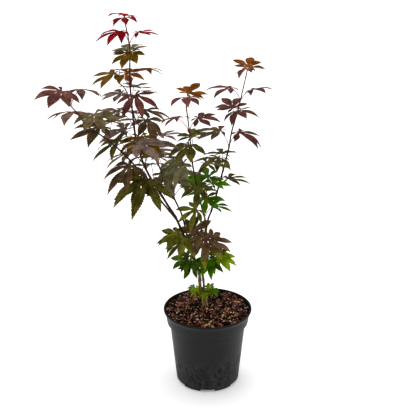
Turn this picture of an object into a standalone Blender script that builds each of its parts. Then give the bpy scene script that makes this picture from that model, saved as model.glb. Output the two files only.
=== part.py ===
"""Young purple-leaved maple in a round black nursery pot filled with bark compost.

Metres, +Z up. The origin is the middle of the pot's flat underside, and the front of the
plant looks along -Y. A short trunk carries three thin stems. Each stem is bare at its foot
and leafy above: leaves stand on it in opposite pairs, each pair a quarter turn on from the
pair below. A leafy length, with its petioles and blades, is one solid.
"""

import math
import random
from collections import namedtuple

import bmesh
import bpy
import numpy as np
from mathutils import Matrix
from mathutils.bvhtree import BVHTree

# ---------------------------------------------------------------- the pot and its filling
GAP = 0.0003
MERGE = 0.000001

WALL = 0.0016
POT_SIDES = 40
FOOT_RADIUS = 0.0608
FOOT_ROUNDING = 0.0075
FOOT_WIDTH = 0.0108
BODY_TOP_RADIUS = 0.0729
BODY_TOP = 0.1214
BAND_FOOT_RADIUS = 0.0782
BAND_FOOT = 0.1247
BAND_TOP_RADIUS = 0.0813
BAND_TOP = 0.1434
LIP_RADIUS = 0.0850
LIP_BEAD = 0.0014
LIP_DEPTH = 0.0032
LIP_INNER = LIP_RADIUS - 2 * LIP_BEAD
POT_HEIGHT = 0.1528
FLOOR_UNDERSIDE = 0.0062
FLOOR_THICKNESS = 0.0020
PAD_RADIUS = 0.0260
DRAINS = 6
NOTCH_WIDTH = 0.0270
NOTCH_HEIGHT = 0.0055
DRAIN_RADIUS = 0.0040
DRAIN_SIDES = 8
DRAIN_RING = 0.0440
CUT_PAST = 0.0020

SOIL_AT_WALL = 0.1490
SOIL_TOP = 0.1555
SOIL_SEAT = 0.0200
SOIL_RINGS = 3
STEP_GAP = 0.0005

# ---------------------------------------------------------------- trunk, stems and twigs
TRUNK_PATH = [(-0.0044, 0, SOIL_TOP + GAP), (-0.0070, 0, 0.175), (-0.0112, 0, 0.196)]
TRUNK_RADII = (0.0046, 0.0048)
TRUNK_SIDES = 12
TRUNK_RINGS = np.array([0, 0.15, 0.35, 0.65, 1.0])
TRUNK_FLARE = 0.0012
FLARE_FADE = 0.005
TRUNK_RIBS = 3
RIB_DEPTH = 0.16
STEM_SIDES = 8
TWIG_SIDES = 3
RING_SPACING = 0.013
COLLAR_STEP = 0.0005
COLLAR_SWELL = 0.25
COLLAR_FADE = 0.006
PETIOLE_RADII = (0.00085, 0.00060)

# ---------------------------------------------------------------- leaves
# Lobes: the angle from the middle lobe in degrees, and the length as a share of it.
LOBES = ((-126, 0.34), (-80, 0.68), (-40, 0.92), (0, 1.0), (40, 0.92), (80, 0.68), (126, 0.34))
HUB_THICKNESS = 0.0026
RIB_THICKNESS = 0.0016
BULGE_SHARE = 0.44
BULGE_WIDTH = 0.150
SINUS_SHARE = 0.27
BACK_SHARE = 0.40
BACK_ANGLE = 26
CLEARANCE = 0.0008
LOWEST_LEAF = SOIL_TOP + 0.0010
NUDGES = (0, 15, -15, 30, -30, 45, -45, 60, -60, 75, -75, 90, -90)

# What each leaf draws for itself, in degrees, or as shares of its length.
TURN_PLAY = 20
PETIOLE_RISE = (54, 76)
PETIOLE_EASE = 24
PETIOLE_STEPS = 3
HEADING_PLAY = 30
PITCH_PLAY = 26
ROLL_PLAY = 28
SIZE_PLAY = (0.88, 1.10)
LEAF_DROOP = (0.08, 0.34)
LIGHT = np.array([0, -0.77, 0.64])
LOBE_ANGLE_PLAY = 5
LOBE_LENGTH_PLAY = (0.90, 1.08)
LOBE_LIFT = (0.05, 0.16)
LOBE_DROOP_PLAY = (0.5, 1.6)
LOBE_SHORTENING = 0.05

Leaf = namedtuple("Leaf", "petiole hub heading side normal length lobes")
Lobe = namedtuple("Lobe", "angle length lift droop")

# A stem's path starts inside its carrier. It is bare as far as its path point numbered bare,
# and leafy beyond; a stem whose bare is 0 is leafy from its collar on. The pairs of leaves
# stand over the span of the leafy length. hang is the pitch of its leaves in degrees, lean how
# far their faces turn to the light, and play how much of the pitch and roll play they take.
# Numbers in pairs are for the foot and the tip.
Stem = namedtuple(
    "Stem", "leafy carrier path bare radii span pairs turn blade petiole hang lean play seed tint"
)

STEMS = {
    "left_stem": Stem(
        leafy="leader_leaves", carrier="trunk",
        path=[
            (-0.0125, 0, 0.186), (-0.0145, 0, 0.2), (-0.017, 0, 0.23), (-0.031, 0, 0.269),
            (-0.043, 0, 0.299), (-0.059, 0, 0.339), (-0.076, 0.005, 0.366), (-0.112, 0.017, 0.425),
            (-0.129, 0.025, 0.476), (-0.135, 0.03, 0.517), (-0.139, 0.03, 0.587),
            (-0.138, 0.03, 0.652), (-0.145, 0.03, 0.699),
        ],
        bare=6, radii=(0.003, 0.0007), span=(0.12, 0.985), pairs=9, turn=90,
        blade=(0.062, 0.045), petiole=(0.04, 0.016), hang=(-20, -4),
        lean=(0.45, 0.05), play=(0.9, 0.5), seed=407, tint="purple_foliage",
    ),
    "far_left_stem": Stem(
        leafy="far_left_leaves", carrier="left_stem",
        path=[
            (-0.058, 0, 0.336), (-0.089, -0.02, 0.386), (-0.12, -0.04, 0.443), (-0.151, -0.06, 0.488),
            (-0.182, -0.07, 0.519), (-0.205, -0.075, 0.538), (-0.221, -0.08, 0.562),
            (-0.232, -0.084, 0.578),
        ],
        bare=1, radii=(0.0019, 0.0008), span=(0.06, 0.985), pairs=6, turn=-30,
        blade=(0.076, 0.056), petiole=(0.034, 0.034), hang=(-22, -8),
        lean=(0.5, 0.1), play=(0.8, 0.5), seed=382, tint="purple_foliage",
    ),
    "middle_stem": Stem(
        leafy="middle_leaves", carrier="left_stem",
        path=[
            (-0.031, 0, 0.269), (-0.04, 0.012, 0.304), (-0.048, 0.03, 0.331), (-0.058, 0.042, 0.35),
            (-0.077, 0.07, 0.381), (-0.097, 0.09, 0.418), (-0.124, 0.11, 0.474), (-0.139, 0.12, 0.496),
            (-0.155, 0.13, 0.547), (-0.171, 0.13, 0.566),
        ],
        bare=3, radii=(0.0019, 0.0008), span=(0.06, 0.985), pairs=6, turn=20,
        blade=(0.06, 0.048), petiole=(0.036, 0.03), hang=(-20, -8),
        lean=(0.4, 0.1), play=(0.8, 0.5), seed=240, tint="bronze_foliage",
    ),
    "right_stem": Stem(
        leafy="right_leaves", carrier="trunk",
        path=[
            (-0.0085, 0, 0.186), (-0.0072, 0.002, 0.2), (-0.01, 0.01, 0.231), (-0.006, 0.02, 0.275),
            (0, 0.02, 0.323), (0.008, 0.03, 0.344), (0.014, 0.036, 0.362), (0.025, 0.045, 0.401),
            (0.039, 0.06, 0.452), (0.045, 0.07, 0.484), (0.057, 0.08, 0.525), (0.067, 0.09, 0.566),
            (0.072, 0.095, 0.587),
        ],
        bare=6, radii=(0.0022, 0.0007), span=(0.05, 0.985), pairs=6, turn=175,
        blade=(0.06, 0.049), petiole=(0.036, 0.022), hang=(-10, 8),
        lean=(0.15, 0.05), play=(0.45, 0.35), seed=566, tint="purple_foliage",
    ),
    "right_branch": Stem(
        leafy="centre_leaves", carrier="right_stem",
        path=[
            (-0.001, 0.02, 0.315), (-0.008, 0.01, 0.346), (-0.012, 0.003, 0.364),
            (-0.025, -0.03, 0.443), (-0.029, -0.045, 0.488), (-0.032, -0.06, 0.53),
            (-0.036, -0.078, 0.572),
        ],
        bare=2, radii=(0.0016, 0.0008), span=(0.08, 0.985), pairs=5, turn=75,
        blade=(0.055, 0.048), petiole=(0.034, 0.026), hang=(-16, 0),
        lean=(0.4, 0.05), play=(0.7, 0.4), seed=29, tint="bronze_foliage",
    ),
    "inner_shoot": Stem(
        leafy="inner_leaves", carrier="right_stem",
        path=[
            (-0.004, 0.02, 0.3), (-0.006, 0.004, 0.345), (-0.004, -0.01, 0.372),
            (-0.004, -0.014, 0.392),
        ],
        bare=0, radii=(0.0013, 0.0008), span=(0.4, 0.98), pairs=3, turn=20,
        blade=(0.046, 0.042), petiole=(0.028, 0.024), hang=(-16, -4),
        lean=(0.8, 0.8), play=(0.8, 0.7), seed=665, tint="green_foliage",
    ),
    "low_left_shoot": Stem(
        leafy="low_left_leaves", carrier="left_stem",
        path=[
            (-0.03, 0, 0.267), (-0.038, -0.014, 0.288), (-0.045, -0.022, 0.302),
        ],
        bare=0, radii=(0.0013, 0.0009), span=(0.4, 0.97), pairs=3, turn=10,
        blade=(0.05, 0.046), petiole=(0.024, 0.022), hang=(-26, -20),
        lean=(0.9, 0.9), play=(0.9, 0.9), seed=109, tint="bronze_foliage",
    ),
    "low_front_shoot": Stem(
        leafy="low_front_leaves", carrier="right_stem",
        path=[
            (-0.008, 0.015, 0.253), (-0.009, -0.006, 0.276), (-0.01, -0.02, 0.294),
        ],
        bare=0, radii=(0.0013, 0.0009), span=(0.5, 0.97), pairs=2, turn=20,
        blade=(0.054, 0.05), petiole=(0.026, 0.024), hang=(-30, -24),
        lean=(0.9, 0.9), play=(0.9, 0.9), seed=481, tint="bronze_foliage",
    ),
    "low_dark_shoot": Stem(
        leafy="low_dark_leaves", carrier="left_stem",
        path=[
            (-0.0172, 0, 0.232), (-0.025, -0.01, 0.243), (-0.033, -0.016, 0.25),
        ],
        bare=0, radii=(0.0011, 0.0008), span=(0.6, 0.97), pairs=2, turn=-10,
        blade=(0.04, 0.036), petiole=(0.016, 0.014), hang=(-22, -14),
        lean=(0.8, 0.8), play=(0.8, 0.8), seed=921, tint="green_foliage",
    ),
    "low_right_shoot": Stem(
        leafy="low_right_leaves", carrier="right_stem",
        path=[
            (-0.01, 0.008, 0.222), (0.001, 0.004, 0.234), (0.01, 0, 0.243), (0.018, -0.004, 0.25),
        ],
        bare=0, radii=(0.0011, 0.0008), span=(0.45, 0.97), pairs=3, turn=120,
        blade=(0.044, 0.038), petiole=(0.018, 0.014), hang=(-22, -8),
        lean=(0.7, 0.7), play=(0.8, 0.8), seed=548, tint="green_foliage",
    ),
    "left_sprout": Stem(
        leafy="left_sprout_leaves", carrier="trunk",
        path=[
            (-0.0075, 0, 0.172), (-0.0165, 0.001, 0.183), (-0.0235, 0.003, 0.189),
        ],
        bare=0, radii=(0.0009, 0.0006), span=(0.6, 0.97), pairs=2, turn=40,
        blade=(0.018, 0.016), petiole=(0.008, 0.007), hang=(-14, -4),
        lean=(0.6, 0.6), play=(0.8, 0.8), seed=639, tint="green_foliage",
    ),
    "right_sprout": Stem(
        leafy="right_sprout_leaves", carrier="trunk",
        path=[
            (-0.0065, 0, 0.173), (0.0005, -0.0065, 0.183), (0.0062, -0.008, 0.19),
        ],
        bare=0, radii=(0.0009, 0.0006), span=(0.6, 0.97), pairs=2, turn=40,
        blade=(0.018, 0.016), petiole=(0.008, 0.007), hang=(-14, -4),
        lean=(0.6, 0.6), play=(0.8, 0.8), seed=315, tint="green_foliage",
    ),
}

# ---------------------------------------------------------------- finishes: colour, roughness
FINISHES = {
    "pot_plastic": ((0.014, 0.014, 0.015), 0.42),
    "bark_compost": ((0.060, 0.026, 0.014), 0.95),
    "stem_bark": ((0.050, 0.030, 0.018), 0.65),
    "purple_foliage": ((0.110, 0.040, 0.040), 0.60),
    "bronze_foliage": ((0.110, 0.075, 0.020), 0.60),
    "green_foliage": ((0.045, 0.130, 0.012), 0.55),
}


def clear_scene():
    for obj in list(bpy.data.objects):
        bpy.data.objects.remove(obj)


def finish(name):
    """A plain Principled material of the named finish, made once."""
    material = bpy.data.materials.get(name)
    if material is None:
        colour, roughness = FINISHES[name]
        material = bpy.data.materials.new(name)
        material.use_nodes = True
        shader = material.node_tree.nodes["Principled BSDF"]
        shader.inputs["Base Color"].default_value = (*colour, 1.0)
        shader.inputs["Roughness"].default_value = roughness
        shader.inputs["Metallic"].default_value = 0.0
    return material


def add_solid(name, shape, finish_name):
    """A mesh object from (vertices, faces), in the scene's collection."""
    vertices, faces = shape
    mesh = bpy.data.meshes.new(name)
    mesh.from_pydata([tuple(map(float, v)) for v in vertices], [], [tuple(map(int, f)) for f in faces])
    mesh.materials.append(finish(finish_name))
    mesh.validate()
    mesh.update()
    obj = bpy.data.objects.new(name, mesh)
    bpy.context.scene.collection.objects.link(obj)
    return obj


def smooth_shaded(obj, angle=40):
    obj.data.shade_smooth()
    obj.data.set_sharp_from_angle(angle=math.radians(angle))
    return obj


def joined(name, shapes, finish_name):
    """One closed solid: the union of the shapes, by one Boolean on a collection, applied."""
    body = add_solid(name, shapes[0], finish_name)
    others = bpy.data.collections.new(name + "_pieces")
    bpy.context.scene.collection.children.link(others)
    for index, shape in enumerate(shapes[1:]):
        piece = add_solid(f"{name}_piece_{index}", shape, finish_name)
        bpy.context.scene.collection.objects.unlink(piece)
        others.objects.link(piece)
    union = body.modifiers.new("union", "BOOLEAN")
    union.operation = "UNION"
    union.operand_type = "COLLECTION"
    union.collection = others
    union.solver = "EXACT"
    graph = bpy.context.evaluated_depsgraph_get()
    fused = bpy.data.meshes.new_from_object(body.evaluated_get(graph))
    body.modifiers.clear()
    body.data = fused
    for piece in list(others.objects):
        bpy.data.objects.remove(piece)
    bpy.data.collections.remove(others)
    return body


# ---------------------------------------------------------------- shapes
def unit(vectors):
    vectors = np.asarray(vectors, float)
    return vectors / np.linalg.norm(vectors, axis=-1, keepdims=True)


def mix(ends, share):
    return ends[0] + (ends[1] - ends[0]) * share


class Line:
    """A smooth centre line through a few set points (Catmull-Rom), read by the distance along it."""

    def __init__(self, points):
        p = np.array(points, float)
        p = np.vstack([2 * p[0] - p[1], p, 2 * p[-1] - p[-2]])
        t = np.linspace(0, len(points) - 1, 401)
        i = np.minimum(t.astype(int), len(points) - 2)
        u = (t - i)[:, None]
        a, b, c, d = p[i], p[i + 1], p[i + 2], p[i + 3]
        square = (2 * a - 5 * b + 4 * c - d) * u**2
        cube = (3 * b - a - 3 * c + d) * u**3
        self.fine = 0.5 * (2 * b + (c - a) * u + square + cube)
        steps = np.linalg.norm(np.diff(self.fine, axis=0), axis=1)
        self.run = np.concatenate([[0], np.cumsum(steps)])
        self.length = float(self.run[-1])
        self.knots = np.interp(np.arange(len(points)), t, self.run)

    def at(self, distance):
        return np.stack([np.interp(distance, self.run, self.fine[:, k]) for k in range(3)], axis=-1)

    def ahead(self, distance, reach=0.0005):
        return unit(self.at(distance + reach) - self.at(distance - reach))


def tube(centres, ahead, radii, sides):
    """A closed tube: a ring square to its heading at each centre, turned as little as it can be
    from one ring to the next, and flat at both ends. radii holds one radius a ring, or one a
    point of each ring."""
    count = len(centres)
    radii = np.broadcast_to(np.reshape(radii, (count, -1)), (count, sides))
    axis = np.eye(3)[np.argmin(np.abs(ahead[0]))]
    across = []
    for heading in ahead:
        axis = unit(axis - heading * np.dot(axis, heading))
        across.append(axis)
    across = np.array(across)
    second = np.cross(ahead, across)
    turns = 2 * math.pi * np.arange(sides) / sides
    spokes = across[:, None] * np.cos(turns)[:, None] + second[:, None] * np.sin(turns)[:, None]
    vertices = (centres[:, None] + spokes * radii[:, :, None]).reshape(-1, 3)
    faces = [tuple(range(sides))[::-1], tuple(range((count - 1) * sides, count * sides))]
    for ring in range(count - 1):
        for k in range(sides):
            low, next_low = ring * sides + k, ring * sides + (k + 1) % sides
            faces.append((low, next_low, next_low + sides, low + sides))
    return vertices, faces


def stem_radius(stem, line, distance):
    """A stem tapers evenly from foot to tip, and swells a little where its carrier holds it."""
    distance = np.asarray(distance, float)
    swell = 1 + COLLAR_SWELL * np.exp(-distance / COLLAR_FADE)
    return mix(stem.radii, distance / line.length) * swell


def stem_tube(stem, line, start, end, sides):
    rings = max(2, round((end - start) / RING_SPACING) + 1)
    distance = np.linspace(start, end, rings)
    return tube(line.at(distance), line.ahead(distance), stem_radius(stem, line, distance), sides)


# ---------------------------------------------------------------- leaves
def direction(turn, rise):
    """The unit vector at a compass turn, and a rise above the level."""
    level = math.cos(rise)
    return np.array([math.cos(turn) * level, math.sin(turn) * level, math.sin(rise)])


def leaf_on(stem, line, pair, which, nudge):
    """One leaf of an opposite pair, with its own numbers drawn from the stem's seed. Its face
    leans to the light. The nudge turns its petiole about the stem, in degrees."""
    draw = random.Random(stem.seed * 100 + pair * 2 + which)
    age = pair / (stem.pairs - 1)
    foot = mix((line.knots[stem.bare], line.length), mix(stem.span, age))
    opposite = 90 * pair + 180 * which
    turn = math.radians(stem.turn + opposite + draw.uniform(-TURN_PLAY, TURN_PLAY) + nudge)
    rise = math.radians(draw.uniform(*PETIOLE_RISE))
    ease = math.radians(PETIOLE_EASE) / (PETIOLE_STEPS - 1)
    step = mix(stem.petiole, age**4) / PETIOLE_STEPS
    petiole = [line.at(foot)]
    for k in range(PETIOLE_STEPS):
        petiole.append(petiole[-1] + direction(turn, rise - ease * k) * step)
    yaw = turn + math.radians(draw.uniform(-HEADING_PLAY, HEADING_PLAY))
    play = mix(stem.play, age)
    pitch = math.radians(mix(stem.hang, age) + play * draw.uniform(-PITCH_PLAY, PITCH_PLAY))
    roll = math.radians(play * draw.uniform(-ROLL_PLAY, ROLL_PLAY))
    heading = direction(yaw, pitch)
    level = direction(yaw + math.pi / 2, 0)
    aside = level * math.cos(roll) + np.cross(heading, level) * math.sin(roll)
    normal = unit(np.cross(heading, aside) + mix(stem.lean, age) * LIGHT)
    heading = unit(heading - normal * (heading @ normal))
    length = mix(stem.blade, age**2) * draw.uniform(*SIZE_PLAY)
    droop = draw.uniform(*LEAF_DROOP)
    lobes = []
    for angle, share in LOBES:
        lobe_angle = math.radians(angle + draw.uniform(-LOBE_ANGLE_PLAY, LOBE_ANGLE_PLAY))
        lobe_length = length * share * draw.uniform(*LOBE_LENGTH_PLAY)
        lobe_lift = draw.uniform(*LOBE_LIFT)
        lobe_droop = droop * draw.uniform(*LOBE_DROOP_PLAY)
        lobes.append(Lobe(lobe_angle, lobe_length, lobe_lift, lobe_droop))
    side = np.cross(normal, heading)
    return Leaf(np.array(petiole), petiole[-1], heading, side, normal, length, lobes)


def blade_point(leaf, angle, reach, height):
    """The point of a blade at an angle and a reach from its hub, and a height over its plane."""
    outward = leaf.heading * math.cos(angle) + leaf.side * math.sin(angle)
    return leaf.hub + outward * reach + leaf.normal * height


def lobe_place(leaf, lobe, share, across=0.0, over=0.0):
    """A point of a lobe: a share of the way along its midrib, a distance to the left of it and
    a distance over it. The midrib rises first and then droops, lift * share - droop * share^2,
    and its reach shortens a little as it curls."""
    ahead = leaf.heading * math.cos(lobe.angle) + leaf.side * math.sin(lobe.angle)
    left = leaf.side * math.cos(lobe.angle) - leaf.heading * math.sin(lobe.angle)
    height = lobe.length * (lobe.lift * share - lobe.droop * share**2)
    reach = lobe.length * share * (1 - LOBE_SHORTENING * share**2)
    return leaf.hub + ahead * reach + left * across + leaf.normal * (height + over)


def blade(leaf, extra=0.0):
    """A thin closed blade. Its upper and lower faces share one sharp outline through sinuses,
    bulges and tips, and part at the hub and along the midribs of the five large lobes. extra
    makes it thicker, to keep a clearance."""
    over_hub = (HUB_THICKNESS + extra) / 2
    over_rib = (RIB_THICKNESS + extra) / 2
    vertices = [leaf.hub + leaf.normal * over_hub, leaf.hub - leaf.normal * over_hub]
    lobes = leaf.lobes
    back = math.radians(BACK_ANGLE)
    sinuses = [blade_point(leaf, lobes[0].angle - back, lobes[0].length * BACK_SHARE, 0)]
    for low, high in zip(lobes, lobes[1:]):
        reach = SINUS_SHARE * min(low.length, high.length)
        lift = reach * (low.lift + high.lift) / 2
        sinuses.append(blade_point(leaf, (low.angle + high.angle) / 2, reach, lift))
    sinuses.append(blade_point(leaf, lobes[-1].angle + back, lobes[-1].length * BACK_SHARE, 0))
    first_sinus = len(vertices)
    vertices += sinuses
    upper, lower = [], []
    for index, lobe in enumerate(lobes):
        right, left = first_sinus + index, first_sinus + index + 1
        tip = len(vertices)
        vertices.append(lobe_place(leaf, lobe, 1.0))
        if index in (0, len(lobes) - 1):
            upper += [(0, right, tip), (0, tip, left)]
            lower += [(1, tip, right), (1, left, tip)]
            continue
        wide = BULGE_WIDTH * lobe.length
        vertices += [
            lobe_place(leaf, lobe, BULGE_SHARE, -wide),
            lobe_place(leaf, lobe, BULGE_SHARE, wide),
            lobe_place(leaf, lobe, BULGE_SHARE, 0, over_rib),
            lobe_place(leaf, lobe, BULGE_SHARE, 0, -over_rib),
        ]
        bulge_right, bulge_left, rib, keel = range(tip + 1, tip + 5)
        ring = [right, bulge_right, tip, bulge_left, left]
        upper += [(0, right, rib), (0, rib, left)]
        upper += [(rib, a, b) for a, b in zip(ring, ring[1:])]
        lower += [(1, keel, right), (1, left, keel)]
        lower += [(keel, b, a) for a, b in zip(ring, ring[1:])]
    last_sinus = first_sinus + len(lobes)
    upper.append((0, last_sinus, first_sinus))
    lower.append((1, first_sinus, last_sinus))
    return vertices, upper + lower


def petiole_tube(leaf, extra=0.0):
    radii = np.linspace(PETIOLE_RADII[0], PETIOLE_RADII[1], len(leaf.petiole)) + extra
    return tube(leaf.petiole, unit(np.gradient(leaf.petiole, axis=0)), radii, TWIG_SIDES)


def tree_of(shape):
    vertices, faces = shape
    return BVHTree.FromPolygons([tuple(v) for v in vertices], faces)


def fits(leaf, obstacles):
    """A leaf may hang over the pot, not into it, and it keeps clear of every obstacle."""
    shapes = [blade(leaf, 2 * CLEARANCE), petiole_tube(leaf, CLEARANCE)]
    if min(vertex[2] for vertex in shapes[0][0]) < LOWEST_LEAF:
        return False
    return not any(tree_of(shape).overlap(other) for shape in shapes for other in obstacles)


def leaves_of(stem, line, obstacles):
    """The leaves that find room, each turned about the stem by the least nudge that clears it."""
    found = []
    for pair in range(stem.pairs):
        for which in (0, 1):
            tries = (leaf_on(stem, line, pair, which, nudge) for nudge in NUDGES)
            leaf = next((leaf for leaf in tries if fits(leaf, obstacles)), None)
            if leaf:
                found.append(leaf)
    return found


# ---------------------------------------------------------------- the plant
def trunk_radius(line, distance):
    """Taper + flare * exp(-distance / fade)."""
    return mix(TRUNK_RADII, distance / line.length) + TRUNK_FLARE * np.exp(-distance / FLARE_FADE)


def trunk_tube(line):
    """The trunk: flared at the ground, with shallow ribs where its stems have grown together.
    Its radius goes up and down with the angle as 1 + depth * cos(ribs * angle)."""
    distance = TRUNK_RINGS * line.length
    turns = 2 * math.pi * np.arange(TRUNK_SIDES) / TRUNK_SIDES
    radii = trunk_radius(line, distance)[:, None] * (1 + RIB_DEPTH * np.cos(TRUNK_RIBS * turns))
    ahead = line.ahead(distance)
    ahead[0] = (0, 0, 1)
    return tube(line.at(distance), ahead, radii, TRUNK_SIDES)


def collar_end(stem, line, carrier_line, carrier_radii):
    """The distance along a stem at which it has come clear of its carrier."""
    for distance in np.arange(0, line.length, COLLAR_STEP):
        away = np.linalg.norm(carrier_line.fine - line.at(distance), axis=1)
        nearest = int(np.argmin(away))
        if away[nearest] > carrier_radii[nearest] + stem_radius(stem, line, distance) + CLEARANCE:
            return float(distance)
    raise ValueError("a stem stays inside its carrier")


def grow_plant():
    """The trunk, the bare stems and then the leafy lengths, the lowest first. A stem's collar,
    the first few millimetres outside its carrier, is part of the carrier's solid, and the stem's
    own solid begins a gap beyond it."""
    lines = {name: Line(stem.path) for name, stem in STEMS.items()}
    radii = {name: stem_radius(stem, lines[name], lines[name].run) for name, stem in STEMS.items()}
    lines["trunk"] = Line(TRUNK_PATH)
    radii["trunk"] = trunk_radius(lines["trunk"], lines["trunk"].run) * (1 + RIB_DEPTH)
    shapes = {"trunk": [trunk_tube(lines["trunk"])]}
    starts = {}
    for name, stem in STEMS.items():
        line = lines[name]
        collar = collar_end(stem, line, lines[stem.carrier], radii[stem.carrier])
        shapes[stem.carrier].append(stem_tube(stem, line, 0, collar, STEM_SIDES))
        starts[name] = collar + GAP
        if stem.bare:
            shapes[name] = [stem_tube(stem, line, starts[name], line.knots[stem.bare], STEM_SIDES)]
            starts[name] = line.knots[stem.bare] + GAP
    obstacles = []
    for name, parts in shapes.items():
        smooth_shaded(joined(name, parts, "stem_bark"))
        obstacles += [tree_of(part) for part in parts]
    twigs = {
        name: stem_tube(stem, lines[name], starts[name], lines[name].length, TWIG_SIDES)
        for name, stem in STEMS.items()
    }
    for name, stem in reversed(STEMS.items()):
        others = [tree_of(twig) for other, twig in twigs.items() if other != name]
        parts = [twigs[name]]
        for leaf in leaves_of(stem, lines[name], obstacles + others):
            parts += [petiole_tube(leaf), blade(leaf)]
        joined(stem.leafy, parts, stem.tint)
        obstacles += [tree_of(part) for part in parts[1:]]


# ---------------------------------------------------------------- the pot
def wall_outline():
    """(radius, height) up the outside of the pot: rounded foot, straight body, step, band, lip."""
    foot = [
        (
            FOOT_RADIUS + FOOT_ROUNDING * (math.cos(math.radians(angle)) - 1),
            FOOT_ROUNDING * (math.sin(math.radians(angle)) + 1),
        )
        for angle in (-90, -60, -30, 0)
    ]
    return foot + [
        (BODY_TOP_RADIUS, BODY_TOP),
        (BAND_FOOT_RADIUS, BAND_FOOT),
        (BAND_TOP_RADIUS, BAND_TOP),
        (LIP_RADIUS - LIP_BEAD / 2, POT_HEIGHT - LIP_DEPTH),
        (LIP_RADIUS, POT_HEIGHT - LIP_BEAD),
        (LIP_RADIUS - LIP_BEAD / 3, POT_HEIGHT - LIP_BEAD / 4),
        (LIP_RADIUS - LIP_BEAD, POT_HEIGHT),
    ]


def inner_radius(height):
    """The radius inside the wall at a height."""
    heights = (0, BODY_TOP, BAND_FOOT, BAND_TOP, POT_HEIGHT - LIP_BEAD)
    radii = (FOOT_RADIUS, BODY_TOP_RADIUS, BAND_FOOT_RADIUS, BAND_TOP_RADIUS, LIP_INNER + WALL)
    return float(np.interp(height, heights, radii)) - WALL


def mesh_object(name, form, finish_name):
    """A mesh object from a bmesh, which is freed."""
    bmesh.ops.recalc_face_normals(form, faces=form.faces)
    mesh = bpy.data.meshes.new(name)
    form.to_mesh(mesh)
    form.free()
    mesh.materials.append(finish(finish_name))
    obj = bpy.data.objects.new(name, mesh)
    bpy.context.scene.collection.objects.link(obj)
    return obj


def turned(name, profile, finish_name):
    """A solid spun about the Z axis. The profile of (radius, height) begins and ends on it."""
    form = bmesh.new()
    points = [form.verts.new((radius, 0, height)) for radius, height in profile]
    edges = [form.edges.new(ends) for ends in zip(points, points[1:])]
    bmesh.ops.spin(form, geom=points + edges, axis=(0, 0, 1), steps=POT_SIDES, angle=2 * math.pi)
    bmesh.ops.remove_doubles(form, verts=form.verts, dist=MERGE)
    return mesh_object(name, form, finish_name)


def drain_places(radius, height):
    """A frame at each drain: round the Z axis from the front, with its X axis pointing out."""
    for k in range(DRAINS):
        turn = Matrix.Rotation(math.radians(360 * k / DRAINS - 90), 4, "Z")
        yield turn @ Matrix.Translation((radius, 0, height))


def cut_with(body, name, form):
    """Cuts a bmesh from the body, as a wire object that does not render."""
    cutter = mesh_object(name, form, "pot_plastic")
    cutter.hide_render = True
    cutter.display_type = "WIRE"
    cut = body.modifiers.new(name, "BOOLEAN")
    cut.operation = "DIFFERENCE"
    cut.object = cutter


def make_pot():
    """The pot: one turned wall and floor, with a notch in its foot and a round hole in its floor
    at each drain."""
    floor_top = FLOOR_UNDERSIDE + FLOOR_THICKNESS
    foot_inner = FOOT_RADIUS - FOOT_WIDTH
    underside = [
        (0, 0),
        (PAD_RADIUS, 0),
        (PAD_RADIUS + FLOOR_UNDERSIDE / 2, FLOOR_UNDERSIDE),
        (foot_inner - FLOOR_UNDERSIDE / 4, FLOOR_UNDERSIDE),
        (foot_inner, 0),
    ]
    inside = [
        (LIP_INNER, POT_HEIGHT - LIP_BEAD),
        (BAND_TOP_RADIUS - WALL, BAND_TOP),
        (BAND_FOOT_RADIUS - WALL, BAND_FOOT),
        (BODY_TOP_RADIUS - WALL, BODY_TOP),
        (inner_radius(floor_top), floor_top),
        (0, floor_top),
    ]
    pot = smooth_shaded(turned("pot", underside + wall_outline() + inside, "pot_plastic"), 30)
    notches = bmesh.new()
    notch_depth = FOOT_WIDTH + 2 * CUT_PAST
    notch = Matrix.Diagonal((notch_depth, NOTCH_WIDTH, 2 * NOTCH_HEIGHT, 1))
    for place in drain_places(FOOT_RADIUS - FOOT_WIDTH / 2, 0):
        bmesh.ops.create_cube(notches, size=1, matrix=place @ notch)
    cut_with(pot, "notch_cutter", notches)
    holes = bmesh.new()
    for place in drain_places(DRAIN_RING, FLOOR_UNDERSIDE + FLOOR_THICKNESS / 2):
        bmesh.ops.create_cone(
            holes, cap_ends=True, segments=DRAIN_SIDES, radius1=DRAIN_RADIUS, radius2=DRAIN_RADIUS,
            depth=FLOOR_THICKNESS + CUT_PAST, matrix=place,
        )
    cut_with(pot, "drain_cutter", holes)


def make_compost():
    """The filling: it follows the inside of the wall a gap clear, and domes up to a level seat
    for the trunk."""
    low = FLOOR_UNDERSIDE + FLOOR_THICKNESS + GAP
    rim = inner_radius(SOIL_AT_WALL) - STEP_GAP
    profile = [
        (0, low),
        (inner_radius(low) - GAP, low),
        (inner_radius(BODY_TOP) - STEP_GAP, BODY_TOP),
        (inner_radius(BAND_FOOT) - STEP_GAP, BAND_FOOT + GAP),
        (inner_radius(BAND_TOP) - STEP_GAP, BAND_TOP),
    ]
    for k in range(SOIL_RINGS + 1):
        share = k / SOIL_RINGS
        dome = SOIL_AT_WALL + (SOIL_TOP - SOIL_AT_WALL) * math.sin(share * math.pi / 2)
        profile.append((mix((rim, SOIL_SEAT), share), dome))
    profile.append((0, SOIL_TOP))
    smooth_shaded(turned("compost", profile, "bark_compost"), 50)


clear_scene()
make_pot()
make_compost()
grow_plant()
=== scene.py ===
"""Looks of a young purple-leaved maple in a round black nursery pot filled with bark compost.

Metres, +Z up, in the frame of the model: the origin is the middle of the pot's underside and
the front looks along -Y. Stems, twigs and leaves grow by the model's own rule to finer detail:
the rule first finds where each leaf stands, and then each leaf gets its fine blade.
"""

import math
import random
from collections import namedtuple

import bmesh
import bpy
import numpy as np
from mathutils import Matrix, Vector
from mathutils.bvhtree import BVHTree


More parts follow.
